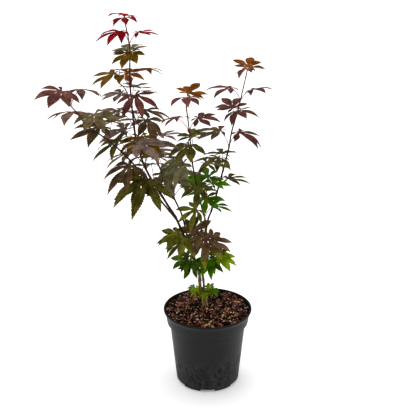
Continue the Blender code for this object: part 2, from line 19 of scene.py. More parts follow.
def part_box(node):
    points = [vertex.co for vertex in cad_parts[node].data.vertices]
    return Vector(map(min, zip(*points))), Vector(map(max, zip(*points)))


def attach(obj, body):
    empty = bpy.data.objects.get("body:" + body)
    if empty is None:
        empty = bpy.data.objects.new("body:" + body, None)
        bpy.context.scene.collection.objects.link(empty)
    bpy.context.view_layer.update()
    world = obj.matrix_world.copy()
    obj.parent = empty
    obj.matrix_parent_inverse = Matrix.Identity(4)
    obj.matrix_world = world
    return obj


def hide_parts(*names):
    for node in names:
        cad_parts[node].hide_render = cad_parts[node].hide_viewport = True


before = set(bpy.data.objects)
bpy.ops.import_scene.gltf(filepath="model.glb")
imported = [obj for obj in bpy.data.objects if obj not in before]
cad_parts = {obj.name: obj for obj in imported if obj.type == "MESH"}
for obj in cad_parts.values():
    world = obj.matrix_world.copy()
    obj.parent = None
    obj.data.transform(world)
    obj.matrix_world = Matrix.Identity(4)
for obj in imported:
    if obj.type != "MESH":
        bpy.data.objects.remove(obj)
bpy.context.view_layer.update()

POT_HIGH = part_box("pot")[1]
SOIL_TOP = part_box("compost")[1].z

# ---- the picture
CAMERA_PLACE = (0.0008, -1.556, 0.960)
CAMERA_DIP = 21.13
SENSOR_WIDTH = 36.0
IMAGE_SIDE = 416
FOCAL_LENGTH = 900 * SENSOR_WIDTH / IMAGE_SIDE
FLOOR = 30.0
SKY_TONES = (1.0, 0.73)
SKY_RISE = (0.06, 0.30)
FLOOR_GLOW = 0.19
LAMP_STRENGTH = 1.85
LAMP_SPREAD = 60
LAMP_FROM = (-0.12, 0.22, 1.0)

# ---- the pot and its filling
GAP = 0.0003
WALL = 0.0016
POT_SIDES = 168
FOOT_RADIUS = 0.0608
FOOT_ROUNDING = 0.0075
FOOT_WIDTH = 0.0108
BODY_TOP_RADIUS = 0.0729
BODY_TOP = 0.1214
BAND_FOOT_RADIUS = 0.0782
BAND_FOOT = 0.1247
BAND_TOP_RADIUS = 0.0813
BAND_TOP = 0.1434
LIP_RADIUS = POT_HIGH.x
LIP_BEAD = 0.0014
LIP_INNER = LIP_RADIUS - 2 * LIP_BEAD
POT_HEIGHT = POT_HIGH.z
FLOOR_UNDERSIDE = 0.0062
FLOOR_THICKNESS = 0.0020
PAD_RADIUS = 0.0260
DRAINS = 6
NOTCH_WIDTH = 0.0270
NOTCH_HEIGHT = 0.0055
DRAIN_RADIUS = 0.0040
DRAIN_RING = 0.0440
SOIL_AT_WALL = 0.1490
SOIL_SEAT = 0.0200
CHIPS = 2100
CRUMBS = 190
# Flakes: the ranges of the length, of the width as a share of it and of the depth as a share of
# that, how far they tilt in degrees, and how high they lie over the bed's dome.
CHIP_SHAPES = ((0.0030, 0.0140), (0.24, 0.54), (0.25, 0.70), 40, (-0.0036, 0.0010))
CRUMB_SHAPES = ((0.0010, 0.0046), (0.5, 0.9), (0.6, 1.0), 60, (0.0004, 0.0026))
GIRTHS = np.array([0.70, 1.0, 0.62])
FLAKE_SIDES = 5
FLAKE_LEAN = 1.5
FLAKE_BREAK = 0.30
ROLL_SHARE = 1.4
WALL_ROOM = 0.0010
BED_DEPTH = 0.0028
LUMP_HEIGHT = 0.0006
CUTTER_SIDES = 24
CUTTER_MARGIN = 0.002
NOTCH_SQUARENESS = 9
SHARP_ANGLE = 50
ARC_POINTS = 7
ALMOST_FLAT = 1.55
EDGE_SHARE = 0.45
BED_SIDES = 128
BED_RINGS = 60
BED_EDGE = 0.005

# The two tones of each kind of bark and crumb, and the share of the flakes that are of it.
BARKS = {
    ("dark_bark", (40, 22, 17), (5, 3, 2)): 0.37,
    ("red_bark", (122, 68, 52), (38, 17, 12)): 0.27,
    ("brown_bark", (98, 66, 54), (26, 14, 11)): 0.18,
    ("tan_wood", (228, 168, 126), (96, 54, 34)): 0.08,
    ("pink_bark", (172, 128, 116), (48, 27, 22)): 0.10,
}
GRAINS = {
    ("perlite", (250, 244, 232), (226, 212, 192), 0.85, 900): 0.34,
    ("yellow_crumbs", (214, 180, 50), (160, 124, 34), 0.8, 700): 0.14,
    ("wood_crumbs", (232, 178, 142), (170, 110, 82), 0.85, 800): 0.52,
}

# ---- trunk, stems and twigs
TRUNK_PATH = [(-0.0044, 0, SOIL_TOP + GAP), (-0.0070, 0, 0.175), (-0.0112, 0, 0.196)]
TRUNK_RADII = (0.0046, 0.0048)
TRUNK_SIDES = 12
TRUNK_RINGS = np.array([0, 0.15, 0.35, 0.65, 1.0])
TRUNK_FLARE = 0.0012
FLARE_FADE = 0.005
TRUNK_RIBS = 3
RIB_DEPTH = 0.16
STEM_SIDES = 8
TWIG_SIDES = 3
LINE_STEPS = 400
RING_SPACING = 0.013
COLLAR_STEP = 0.0005
COLLAR_SWELL = 0.25
COLLAR_FADE = 0.006
PETIOLE_RADII = (0.00085, 0.00060)

# ---- the leaves' rule
# Lobes: the angle from the middle lobe in degrees, and the length as a share of it.
LOBES = ((-126, 0.34), (-80, 0.68), (-40, 0.92), (0, 1.0), (40, 0.92), (80, 0.68), (126, 0.34))
HUB_THICKNESS = 0.0026
RIB_THICKNESS = 0.0016
BULGE_SHARE = 0.44
BULGE_WIDTH = 0.150
SINUS_SHARE = 0.27
BACK_SHARE = 0.40
BACK_ANGLE = 26
CLEARANCE = 0.0008
LOWEST_LEAF = SOIL_TOP + 0.0010
NUDGES = (0, 15, -15, 30, -30, 45, -45, 60, -60, 75, -75, 90, -90)

# What each leaf draws for itself, in degrees, or as shares of its length.
TURN_PLAY = 20
PETIOLE_RISE = (54, 76)
PETIOLE_EASE = 24
PETIOLE_STEPS = 3
HEADING_PLAY = 30
PITCH_PLAY = 26
ROLL_PLAY = 28
SIZE_PLAY = (0.88, 1.10)
LEAF_DROOP = (0.08, 0.34)
LIGHT = np.array([0, -0.77, 0.64])
LOBE_ANGLE_PLAY = 5
LOBE_LENGTH_PLAY = (0.90, 1.08)
LOBE_LIFT = (0.05, 0.16)
LOBE_DROOP_PLAY = (0.5, 1.6)
LOBE_SHORTENING = 0.05

# ---- the fine blade
# A lobe's half width is width * length * sin(pi * share^LEAN)^POINT * (1 - TAPER * share). The
# width is larger on the young leaves near a stem's tip, and each leaf draws its own play of it.
HALF_WIDTHS = (0.142, 0.196)
WIDTH_PLAY = 0.12
WIDTH_LEAN = 1.20
WIDTH_POINT = 1.3
WIDTH_TAPER = 0.14
FINE_SINUS = 0.21
SINUS_EASE = 0.10
TOOTH = 0.075
TOOTH_LEAN = 0.45
LOBE_ROWS = (10, 18, 24, 24, 24, 18, 10)
BLADE_HALF_THICKNESS = 0.00013
VEIN_HALF_WIDTHS = (0.00052, 0.00012)
VEIN_DEPTH = 0.00030
VEIN_SHARE = 0.30
UPPER_CREST = 0.3
HUB_START = 0.04
MIDDLE = 0.55
MIDDLE_CLOSE = 0.3
FOLD_CURVE = 1.5
MARGIN_START = 0.10
TOOTH_END = 0.12
FULL_BLADE = 0.06
SIDE_VEINS = 9
SIDE_VEIN_RELIEF = 0.00016
FOLD_PLAY = (-0.05, 0.26)
RIDGE = 0.10
BEND_PLAY = 0.12
CURL_PLAY = (0.1, 0.7)
CURL_START = 0.6

# The fine trunk: a row of three rounds, as shares of its half width.
TRUNK_ROW = (-0.58, 0, 0.58)
TRUNK_ROUND = 0.42
TRUNK_SPREAD = 1.05
TWIG_GROWTH = 0.0003
TWIG_EASE = 0.02
TRUNK_SINK = 0.0035
# The band along each groove that is painted darker as shade, as a share of the half width.
GROOVE_SHADE_WIDTH = 0.20
DOME_START = 0.80
DOME_CLOSE = 0.999
TRUNK_RELIEF = 0.8
TRUNK_SEED = 5
FINE_TRUNK_SIDES = 96
FINE_TRUNK_RINGS = 124

# Ridges along a stem: the waves round it, their pitch in radians a metre, and their depth as a
# share of its radius. Bulges at a joint: the size as a share, the height over it, and the width.
BARK_WAVES = ((2, 60, 0.035), (3, 140, 0.030), (5, 330, 0.022), (9, 700, 0.014))
BULGES = ((0.30, 0, 0.0020), (0.16, 0.0036, 0.0013))
FIRST_SCAR = 0.024
LAST_SCAR = 0.01
SCAR_SPACING = 0.046
FINE_SPACING = 0.0009
FINE_LIMB_SIDES = 20
FINE_TWIG_SIDES = 12
STALK_RADII = (0.00080, 0.00058)
STALK_SIDES = 8
STALK_RINGS = 18
STALK_START = 0.0006
FOOT_SWELL = 1.0
FOOT_FADE = 0.0016
HEAD_SWELL = 0.7
HEAD_FADE = 0.0012
BUD_LEAN = 1.5
SIDE_BUD = (0.0030, 0.0008)
END_BUD = (0.005, 0.0011)
END_BUD_SINK = 0.001
WELD = 0.000002
BARK_SLOT, RED_SLOT, GREEN_SLOT, GREY_SLOT = range(4)
STALK_SKINS = (
    ("red_stalk", (132, 40, 44), (96, 24, 30)),
    ("green_stalk", (104, 116, 52), (84, 78, 42)),
    ("pink_grey_stalk", (132, 104, 98), (104, 72, 70)),
)

# The bark's tones from the ground up: the heights between which each one takes over, and its
# colour. The pot's water marks fade out from one height to another.
GROUND_TONE = (158, 144, 84)
BARK_TONES = (
    ((0.180, 0.212), (98, 84, 38)),
    ((0.23, 0.30), (60, 42, 28)),
    ((0.31, 0.46), (58, 19, 20)),
    ((0.52, 0.64), (104, 20, 26)),
)
MARKS_FALL = (0.118, 0.072)
# The top band of the pot, duller, and painted darker as shade against the lip's reflection.
LIP_DULL_AND_SHADE = (POT_HEIGHT - 0.0032, POT_HEIGHT - 0.0016)

Leaf = namedtuple("Leaf", "petiole hub heading side normal length lobes")
Lobe = namedtuple("Lobe", "angle length lift droop")

# A leaf's shade is one letter, two letters a pair, from the foot of its shoot to the tip.
SHADES = {
    "C": ("crimson", (128, 0, 12)),
    "G": ("gold", (104, 74, 0)),
    "O": ("orange", (112, 60, 2)),
    "P": ("plum", (95, 52, 46)),
    "p": ("grey_plum", (106, 86, 76)),
    "L": ("olive", (74, 72, 16)),
    # o: a greyish olive of the leaves, painted lighter to offset the shade where those leaves hang.
    "o": ("grey_olive_painted_lit", (114, 110, 76)),
    "h": ("grey_brown", (94, 80, 52)),
    "g": ("green", (66, 108, 0)),
    "d": ("dark_green", (58, 84, 16)),
    "y": ("yellow_green", (112, 140, 2)),
    "B": ("brown", (86, 65, 41)),
    # b and l: brown and olive painted lighter, as painted light against the shade on the low leaves
    # under the crown.
    "b": ("brown_painted_lit", (108, 76, 48)),
    "l": ("olive_painted_lit", (104, 104, 30)),
}
# The stalks of red shades are red up a shoot, and those of green shades are green. Undersides
# go paler towards one of two colours, and the vivid shades hardly do.
RED_SHADES = "CGOP"
GREEN_SHADES = "gdy"
GREENISH_SHADES = "gdyl"
VIVID_SHADES = "CGO"
RED_UNDERSIDE = (162, 142, 120)
GREEN_UNDERSIDE = (150, 152, 70)
DARKER = 0.38
LIGHTER = 1.38

# A stem's path, in millimetres, starts inside its carrier. It is bare as far as its path point
# numbered bare, and leafy beyond; a stem whose bare is 0 is leafy from its collar on. The pairs
# of leaves stand over the span of the leafy length, the first at a turn in degrees. hang is the
# pitch of its leaves in degrees, lean how far their faces turn to the light, and play how much
# of the pitch and roll play they take. Numbers in pairs are for the foot and the tip.
Stem = namedtuple(
    "Stem",
    "leafy carrier finish shades path bare pairs turn seed radii span blade petiole hang lean play",
)

STEMS = {
    "left_stem": Stem(
        "leader_leaves", "trunk", "purple_foliage", "Lo op Gp Bp pP GO Go CC CC",
        [(-12.5, 0, 186), (-14.5, 0, 200), (-17, 0, 230), (-31, 0, 269), (-43, 0, 299),
         (-59, 0, 339), (-76, 5, 366), (-112, 17, 425), (-129, 25, 476), (-135, 30, 517),
         (-139, 30, 587), (-138, 30, 652), (-145, 30, 699)],
        6, 9, 90, 407, (0.003, 0.0007), (0.12, 0.985), (0.062, 0.045), (0.04, 0.016),
        (-20, -4), (0.45, 0.05), (0.9, 0.5),
    ),
    "far_left_stem": Stem(
        "far_left_leaves", "left_stem", "purple_foliage", "LL pB Lp Bh hP PP",
        [(-58, 0, 336), (-89, -20, 386), (-120, -40, 443), (-151, -60, 488), (-182, -70, 519),
         (-205, -75, 538), (-221, -80, 562), (-232, -84, 578)],
        1, 6, -30, 382, (0.0019, 0.0008), (0.06, 0.985), (0.076, 0.056), (0.034, 0.034),
        (-22, -8), (0.5, 0.1), (0.8, 0.5),
    ),
    "middle_stem": Stem(
        "middle_leaves", "left_stem", "bronze_foliage", "oB po Gp BP Pp OO",
        [(-31, 0, 269), (-40, 12, 304), (-48, 30, 331), (-58, 42, 350), (-77, 70, 381),
         (-97, 90, 418), (-124, 110, 474), (-139, 120, 496), (-155, 130, 547), (-171, 130, 566)],
        3, 6, 20, 240, (0.0019, 0.0008), (0.06, 0.985), (0.06, 0.048), (0.036, 0.03),
        (-20, -8), (0.4, 0.1), (0.8, 0.5),
    ),
    "right_stem": Stem(
        "right_leaves", "trunk", "purple_foliage", "gL LL PB PP PP PO",
        [(-8.5, 0, 186), (-7.2, 2, 200), (-10, 10, 231), (-6, 20, 275), (0, 20, 323), (8, 30, 344),
         (14, 36, 362), (25, 45, 401), (39, 60, 452), (45, 70, 484), (57, 80, 525), (67, 90, 566),
         (72, 95, 587)],
        6, 6, 175, 566, (0.0022, 0.0007), (0.05, 0.985), (0.06, 0.049), (0.036, 0.022),
        (-10, 8), (0.15, 0.05), (0.45, 0.35),
    ),
    "right_branch": Stem(
        "centre_leaves", "right_stem", "bronze_foliage", "gL oL LL PP OP",
        [(-1, 20, 315), (-8, 10, 346), (-12, 3, 364), (-25, -30, 443), (-29, -45, 488),
         (-32, -60, 530), (-36, -78, 572)],
        2, 5, 75, 29, (0.0016, 0.0008), (0.08, 0.985), (0.055, 0.048), (0.034, 0.026),
        (-16, 0), (0.4, 0.05), (0.7, 0.4),
    ),
    "inner_shoot": Stem(
        "inner_leaves", "right_stem", "green_foliage", "gl gg gg",
        [(-4, 20, 300), (-6, 4, 345), (-4, -10, 372), (-4, -14, 392)],
        0, 3, 20, 665, (0.0013, 0.0008), (0.4, 0.98), (0.046, 0.042), (0.028, 0.024),
        (-16, -4), (0.8, 0.8), (0.8, 0.7),
    ),
    "low_left_shoot": Stem(
        "low_left_leaves", "left_stem", "bronze_foliage", "dL dl lB",
        [(-30, 0, 267), (-38, -14, 288), (-45, -22, 302)],
        0, 3, 10, 109, (0.0013, 0.0009), (0.4, 0.97), (0.05, 0.046), (0.024, 0.022),
        (-26, -20), (0.9, 0.9), (0.9, 0.9),
    ),
    "low_front_shoot": Stem(
        "low_front_leaves", "right_stem", "bronze_foliage", "bl bB",
        [(-8, 15, 253), (-9, -6, 276), (-10, -20, 294)],
        0, 2, 20, 481, (0.0013, 0.0009), (0.5, 0.97), (0.054, 0.05), (0.026, 0.024),
        (-30, -24), (0.9, 0.9), (0.9, 0.9),
    ),
    "low_dark_shoot": Stem(
        "low_dark_leaves", "left_stem", "green_foliage", "dd gd",
        [(-17.2, 0, 232), (-25, -10, 243), (-33, -16, 250)],
        0, 2, -10, 921, (0.0011, 0.0008), (0.6, 0.97), (0.04, 0.036), (0.016, 0.014),
        (-22, -14), (0.8, 0.8), (0.8, 0.8),
    ),
    "low_right_shoot": Stem(
        "low_right_leaves", "right_stem", "green_foliage", "lg gy yg",
        [(-10, 8, 222), (1, 4, 234), (10, 0, 243), (18, -4, 250)],
        0, 3, 120, 548, (0.0011, 0.0008), (0.45, 0.97), (0.044, 0.038), (0.018, 0.014),
        (-22, -8), (0.7, 0.7), (0.8, 0.8),
    ),
    "left_sprout": Stem(
        "left_sprout_leaves", "trunk", "green_foliage", "yy gy",
        [(-7.5, 0, 172), (-16.5, 1, 183), (-23.5, 3, 189)],
        0, 2, 40, 639, (0.0009, 0.0006), (0.6, 0.97), (0.018, 0.016), (0.008, 0.007),
        (-14, -4), (0.6, 0.6), (0.8, 0.8),
    ),
    "right_sprout": Stem(
        "right_sprout_leaves", "trunk", "green_foliage", "yy yg",
        [(-6.5, 0, 173), (0.5, -6.5, 183), (6.2, -8, 190)],
        0, 2, 40, 315, (0.0009, 0.0006), (0.6, 0.97), (0.018, 0.016), (0.008, 0.007),
        (-14, -4), (0.6, 0.6), (0.8, 0.8),
    ),
}


# ---- materials
def linear(colour):
    """A colour given as three numbers of 0 to 255 on a screen, as an array of linear shares."""
    shares = np.asarray(colour, float) / 255
    return np.where(shares <= 0.04045, shares / 12.92, ((shares + 0.055) / 1.055) ** 2.4)


class Value:
    """An output of a node. Sums and products of it add the Math nodes that work them out."""

    def __init__(self, nodes, link):
        self.nodes = nodes
        self.link = link

    def maths(self, operation, *values):
        sockets = dict(enumerate(values))
        return self.nodes.node("ShaderNodeMath", {"operation": operation}, sockets)

    def __add__(self, other):
        return self.maths("ADD", self, other)

    def __sub__(self, other):
        return self.maths("SUBTRACT", self, other)

    def __rsub__(self, other):
        return self.maths("SUBTRACT", other, self)

    def __mul__(self, other):
        return self.maths("MULTIPLY", self, other)

    __radd__ = __add__
    __rmul__ = __mul__


class Nodes:
    """A tree of nodes, and one method that adds a node to it."""

    def __init__(self, owner):
        owner.use_nodes = True
        self.tree = owner.node_tree

    def feed(self, socket, value):
        if isinstance(value, Value):
            self.tree.links.new(value.link, socket)
        elif socket.type == "RGBA":
            socket.default_value = (*value, 1)
        else:
            socket.default_value = value

    def node(self, kind, settings=None, sockets=None, output=0):
        """Adds a node of a type: its settings first, then its sockets' values or links."""
        made = self.tree.nodes.new(kind)
        for name, value in (settings or {}).items():
            setattr(made, name, value)
        for name, value in (sockets or {}).items():
            self.feed(made.inputs[name], value)
        return Value(self, made.outputs[output])

    def upward(self, vector):
        return self.node("ShaderNodeSeparateXYZ", sockets={"Vector": vector}, output=2)

    def step(self, value, low, high, ends=(0, 1)):
        """A smooth step from one end at low to the other at high; low may be the larger."""
        names = "Value", "From Min", "From Max", "To Min", "To Max"
        sockets = dict(zip(names, (value, low, high, *ends)))
        settings = {"interpolation_type": "SMOOTHSTEP", "clamp": True}
        return self.node("ShaderNodeMapRange", settings, sockets)


class Finish(Nodes):
    """A material while it is made: a Principled shader and the nodes that feed it."""

    def __init__(self, name, roughness, specular):
        self.material = bpy.data.materials.new(name)
        super().__init__(self.material)
        self.set("Roughness", roughness)
        self.set("Specular IOR Level", specular)

    def set(self, name, value):
        self.feed(self.tree.nodes["Principled BSDF"].inputs[name], value)

    def spot(self, stretch=(1, 1, 1)):
        """The spot on the object, in metres, drawn out by a stretch along each axis."""
        spot = self.node("ShaderNodeTexCoord", output=3)
        return self.node("ShaderNodeMapping", sockets={"Vector": spot, "Scale": stretch})

    def height(self):
        return self.upward(self.spot())

    def noise(self, scale, detail=3, stretch=(1, 1, 1), warp=0):
        sockets = {"Vector": self.spot(stretch), "Scale": scale, "Detail": detail, "Distortion": warp}
        return self.node("ShaderNodeTexNoise", sockets=sockets)

    def patches(self, low, high, *noise):
        """A noise cut to patches, by a smooth step from low to high."""
        return self.step(self.noise(*noise), low, high)

    def cells(self, scale, stretch):
        """The distance to the nearest of many scattered points."""
        sockets = {"Vector": self.spot(stretch), "Scale": scale}
        return self.node("ShaderNodeTexVoronoi", sockets=sockets)

    def blend(self, share, *colours):
        """A mix of two colours, each a link, an array of linear shares or a screen colour."""
        first, second = [linear(colour) if isinstance(colour, tuple) else colour for colour in colours]
        sockets = {0: share, 6: first, 7: second}
        return self.node("ShaderNodeMix", {"data_type": "RGBA"}, sockets, output=2)

    def done(self, colour, height, depth, strength):
        """The finished material, with its colour and with a bump of a depth in metres."""
        self.set("Base Color", colour)
        sockets = {"Height": height, "Distance": depth, "Strength": strength}
        self.set("Normal", self.node("ShaderNodeBump", sockets=sockets))
        return self.material


def leaf_finish(name, colour, shine):
    """A leaf face: its shade, clouded darker in broad patches and fine spots, with a fine grain."""
    made = Finish(name, 0.62, shine)
    clouds = made.patches(0.36, 0.62, 60) * 0.65
    spots = made.patches(0.34, 0.66, 460, 4) * 0.35
    shade = made.blend(clouds + spots, DARKER * colour, LIGHTER * colour)
    return made.done(shade, made.noise(1500, 2), 0.0002, 0.35)


def leaf_finishes():
    """For each shade letter, the material of the upper face and of the paler underside."""
    made = {}
    for letter, (name, colour) in SHADES.items():
        upper = linear(colour)
        pale = linear(GREEN_UNDERSIDE if letter in GREENISH_SHADES else RED_UNDERSIDE)
        under = mix((upper, pale), 0.05 if letter in VIVID_SHADES else 0.26)
        upper_finish = leaf_finish(name + "_leaf", upper, 0.02)
        made[letter] = (upper_finish, leaf_finish(name + "_underside", under, 0.01))
    return made


def bark_finish():
    """Young bark: grey-olive at the ground, olive brown above it, dark maroon up the shoots and
    red at their tips, with fine upright streaks and a scatter of pale corky dots."""
    made = Finish("young_bark", 0.6, 0.08)
    height = made.height() + made.noise(60) * 0.04
    tone = GROUND_TONE
    for rise, colour in BARK_TONES:
        tone = made.blend(made.step(height, *rise), tone, colour)
    streaks = made.patches(0.35, 0.65, 420, 4, (1, 1, 0.12))
    dots = made.step(made.cells(330, (1, 1, 0.6)), 0.24, 0.12)
    tone = made.blend(streaks * 0.6, tone, (26, 18, 12))
    tone = made.blend(dots * 0.30, tone, (146, 128, 96))
    made.set("Roughness", 0.46 + streaks * 0.22)
    return made.done(tone, streaks + dots * 0.6, 0.00025, 0.6)


def shoot_finish(name, colour, deep):
    """The smooth skin of a leaf stalk or a green shoot."""
    made = Finish(name, 0.55, 0.08)
    streaks = made.patches(0.3, 0.7, 500, 3, (1, 1, 0.2))
    return made.done(made.blend(streaks, colour, deep), streaks, 0.0001, 0.4)


def pot_finish():
    """Moulded black plastic: a satin charcoal with a faint flow in it, a fine grain, a duller lip
    painted darker as shade against its reflection, and low down dark water marks between dusty scuffs."""
    made = Finish("charcoal_plastic", 0.5, 0.20)
    height = made.height()
    flow = made.noise(9, 3, (1, 1, 2.2))
    low = made.step(height + made.noise(26) * 0.06, *MARKS_FALL)
    scuffs = made.patches(0.42, 0.62, 90, 6, (1, 1, 0.6), 0.5) * low
    drips = made.patches(0.53, 0.58, 170, 4, (1, 1, 0.42), 1.2) * low
    # The lip is duller, and its darker tone is painted shade.
    lip = made.step(height, *LIP_DULL_AND_SHADE)
    tone = made.blend(made.step(flow, 0.35, 0.65), (7, 8, 10), (13, 14, 16))
    for share, colour in ((scuffs * 0.9, (42, 42, 44)), (drips * 0.8, (3, 3, 4)), (lip, (7, 7, 8))):
        tone = made.blend(share, tone, colour)
    made.set("Roughness", 0.44 + scuffs * 0.2 + flow * 0.08 + drips * 0.25 + lip * 0.2)
    grain = made.noise(1700, 2) + made.noise(30, 2) * 0.8 - drips * 2.5
    return made.done(tone, grain, 0.00020, 0.6)


def chip_finish(name, colour, deep):
    """A flake of bark or wood: two tones along its grain, and a rough broken face."""
    made = Finish(name, 0.85, 0.06)
    grain = made.patches(0.36, 0.60, 380, 4, (1, 0.35, 1), 0.5)
    return made.done(made.blend(grain, deep, colour), grain + made.noise(1600), 0.0006, 0.8)


def plain_finish(name, colour, deep, roughness, scale):
    """A crumbly surface of two tones."""
    made = Finish(name, roughness, 0.05)
    crumbs = made.patches(0.35, 0.65, scale, 5)
    return made.done(made.blend(crumbs, deep, colour), crumbs, 0.0012, 0.8)


# ---- meshes
def unit(vectors):
    vectors = np.asarray(vectors, float)
    return vectors / np.linalg.norm(vectors, axis=-1, keepdims=True)


def mix(ends, share):
    return ends[0] + (ends[1] - ends[0]) * share


def ease(share):
    """A smooth step from 0 to 1: 3 s^2 - 2 s^3."""
    share = np.clip(share, 0, 1)
    return share * share * (3 - 2 * share)


def around(sides):
    """The turns of a ring's corners, in radians."""
    return 2 * math.pi * np.arange(sides) / sides


def quads(rows, columns, closed=False):
    """The faces of a grid of points, row by row. A closed grid's last column meets its first."""
    row, column = np.mgrid[0 : rows - 1, 0 : columns - (0 if closed else 1)]
    low = row * columns + column
    low_next = row * columns + (column + 1) % columns
    return np.stack([low, low_next, low_next + columns, low + columns], axis=-1).reshape(-1, 4)


def tube_part(points, slot=0):
    """A closed tube from a grid of rings, whose end rings close on their own middles. Like every
    part it is (vertices, arrays of faces, one slot or a list with the slots of each array)."""
    rings, sides = points.shape[:2]
    ends = np.stack([points[0].mean(axis=0), points[-1].mean(axis=0)])
    vertices = np.concatenate([points.reshape(-1, 3), ends])
    turn = np.arange(sides)
    onward = (turn + 1) % sides
    last = (rings - 1) * sides
    foot = np.stack([onward, turn, np.full(sides, rings * sides)], axis=-1)
    top = np.stack([last + turn, last + onward, np.full(sides, rings * sides + 1)], axis=-1)
    return vertices, [quads(rings, sides, True), np.concatenate([foot, top])], slot


def piece(name, parts, materials, weld=None, creased=True):
    """One smoothly shaded mesh object from parts, creased at its sharper edges or not."""
    faces, slots = [], []
    count = 0
    for points, arrays, slot in parts:
        for index, array in enumerate(arrays):
            faces += (array + count).tolist()
            slots.append(np.broadcast_to(slot[index] if isinstance(slot, list) else slot, len(array)))
        count += len(points)
    mesh = bpy.data.meshes.new(name)
    mesh.from_pydata(np.concatenate([points for points, _, _ in parts]), [], faces, shade_flat=False)
    mesh.validate()
    for material in materials:
        mesh.materials.append(material)
    mesh.polygons.foreach_set("material_index", np.concatenate(slots).astype(np.int32))
    if weld:
        form = bmesh.new()
        form.from_mesh(mesh)
        bmesh.ops.remove_doubles(form, verts=form.verts, dist=weld)
        form.to_mesh(mesh)
        form.free()
    if creased:
        crease(mesh)
    return linked(name, mesh)


def crease(mesh):
    mesh.shade_smooth()
    mesh.set_sharp_from_angle(angle=math.radians(SHARP_ANGLE))


def linked(name, data):
    """A new object of the scene."""
    obj = bpy.data.objects.new(name, data)
    bpy.context.scene.collection.objects.link(obj)
    return obj


def place(obj, slot, *nodes):
    """A finished piece rides on the one body and stands for its nodes. The slot is not used."""
    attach(obj, "root")
    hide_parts(*nodes)


def combined(obj, others, operation):
    """One Boolean of the object with all the others, applied. The others are removed."""
    group = bpy.data.collections.new(obj.name + "_others")
    bpy.context.scene.collection.children.link(group)
    for other in others:
        bpy.context.scene.collection.objects.unlink(other)
        group.objects.link(other)
    step = obj.modifiers.new("together", "BOOLEAN")
    step.operation = operation
    step.operand_type = "COLLECTION"
    step.collection = group
    graph = bpy.context.evaluated_depsgraph_get()
    fused = bpy.data.meshes.new_from_object(obj.evaluated_get(graph))
    obj.modifiers.clear()
    obj.data = fused
    for other in others:
        bpy.data.objects.remove(other)
    bpy.data.collections.remove(group)
    crease(fused)


# ---- the growing rule
class Line:
    """A smooth centre line through a few set points (Catmull-Rom), read by the distance along it."""

    def __init__(self, points):
        p = np.array(points, float)
        p = np.vstack([2 * p[0] - p[1], p, 2 * p[-1] - p[-2]])
        t = np.linspace(0, len(points) - 1, LINE_STEPS + 1)
        i = np.minimum(t.astype(int), len(points) - 2)
        u = (t - i)[:, None]
        a, b, c, d = p[i], p[i + 1], p[i + 2], p[i + 3]
        square = (2 * a - 5 * b + 4 * c - d) * u**2
        cube = (3 * b - a - 3 * c + d) * u**3
        self.fine = 0.5 * (2 * b + (c - a) * u + square + cube)
        steps = np.linalg.norm(np.diff(self.fine, axis=0), axis=1)
        self.run = np.concatenate([[0], np.cumsum(steps)])
        self.length = float(self.run[-1])
        self.knots = np.interp(np.arange(len(points)), t, self.run)

    def at(self, distance):
        return np.stack([np.interp(distance, self.run, self.fine[:, k]) for k in range(3)], axis=-1)

    def ahead(self, distance, reach=0.0005):
        return unit(self.at(distance + reach) - self.at(distance - reach))


def ring_grid(centres, across, second, radii):
    """A grid of rings about centres, in the plane of two directions; radii is an array over
    rings and turns."""
    turns = around(radii.shape[1])
    spokes = across[:, None] * np.cos(turns)[:, None] + second[:, None] * np.sin(turns)[:, None]
    return centres[:, None] + spokes * radii[:, :, None]


def tube(centres, ahead, radii, sides):
    """A closed tube with flat ends. Its rings are square to their headings, each turned as little
    as it can be from the one before. radii holds one radius a ring, or one a point."""
    count = len(centres)
    radii = np.broadcast_to(np.reshape(radii, (count, -1)), (count, sides))
    axis = np.eye(3)[np.argmin(np.abs(ahead[0]))]
    across = []
    for heading in ahead:
        axis = unit(axis - heading * np.dot(axis, heading))
        across.append(axis)
    grid = ring_grid(centres, np.array(across), np.cross(ahead, across), radii)
    ends = [tuple(range(sides))[::-1], tuple(range((count - 1) * sides, count * sides))]
    return grid.reshape(-1, 3), ends + quads(count, sides, True).tolist()


def stem_radius(stem, line, distance):
    """A stem tapers evenly from foot to tip, and swells a little where its carrier holds it."""
    distance = np.asarray(distance, float)
    swell = 1 + COLLAR_SWELL * np.exp(-distance / COLLAR_FADE)
    return mix(stem.radii, distance / line.length) * swell


def stem_tube(stem, line, start, end, sides):
    rings = max(2, round((end - start) / RING_SPACING) + 1)
    distance = np.linspace(start, end, rings)
    return tube(line.at(distance), line.ahead(distance), stem_radius(stem, line, distance), sides)


def pair_place(stem, line, pair):
    """The distance along a stem at which a pair of its leaves stands."""
    share = mix(stem.span, pair / (stem.pairs - 1))
    return mix((line.knots[stem.bare], line.length), share)


def direction(turn, rise):
    """The unit vector at a compass turn, and a rise above the level."""
    level = math.cos(rise)
    return np.array([math.cos(turn) * level, math.sin(turn) * level, math.sin(rise)])


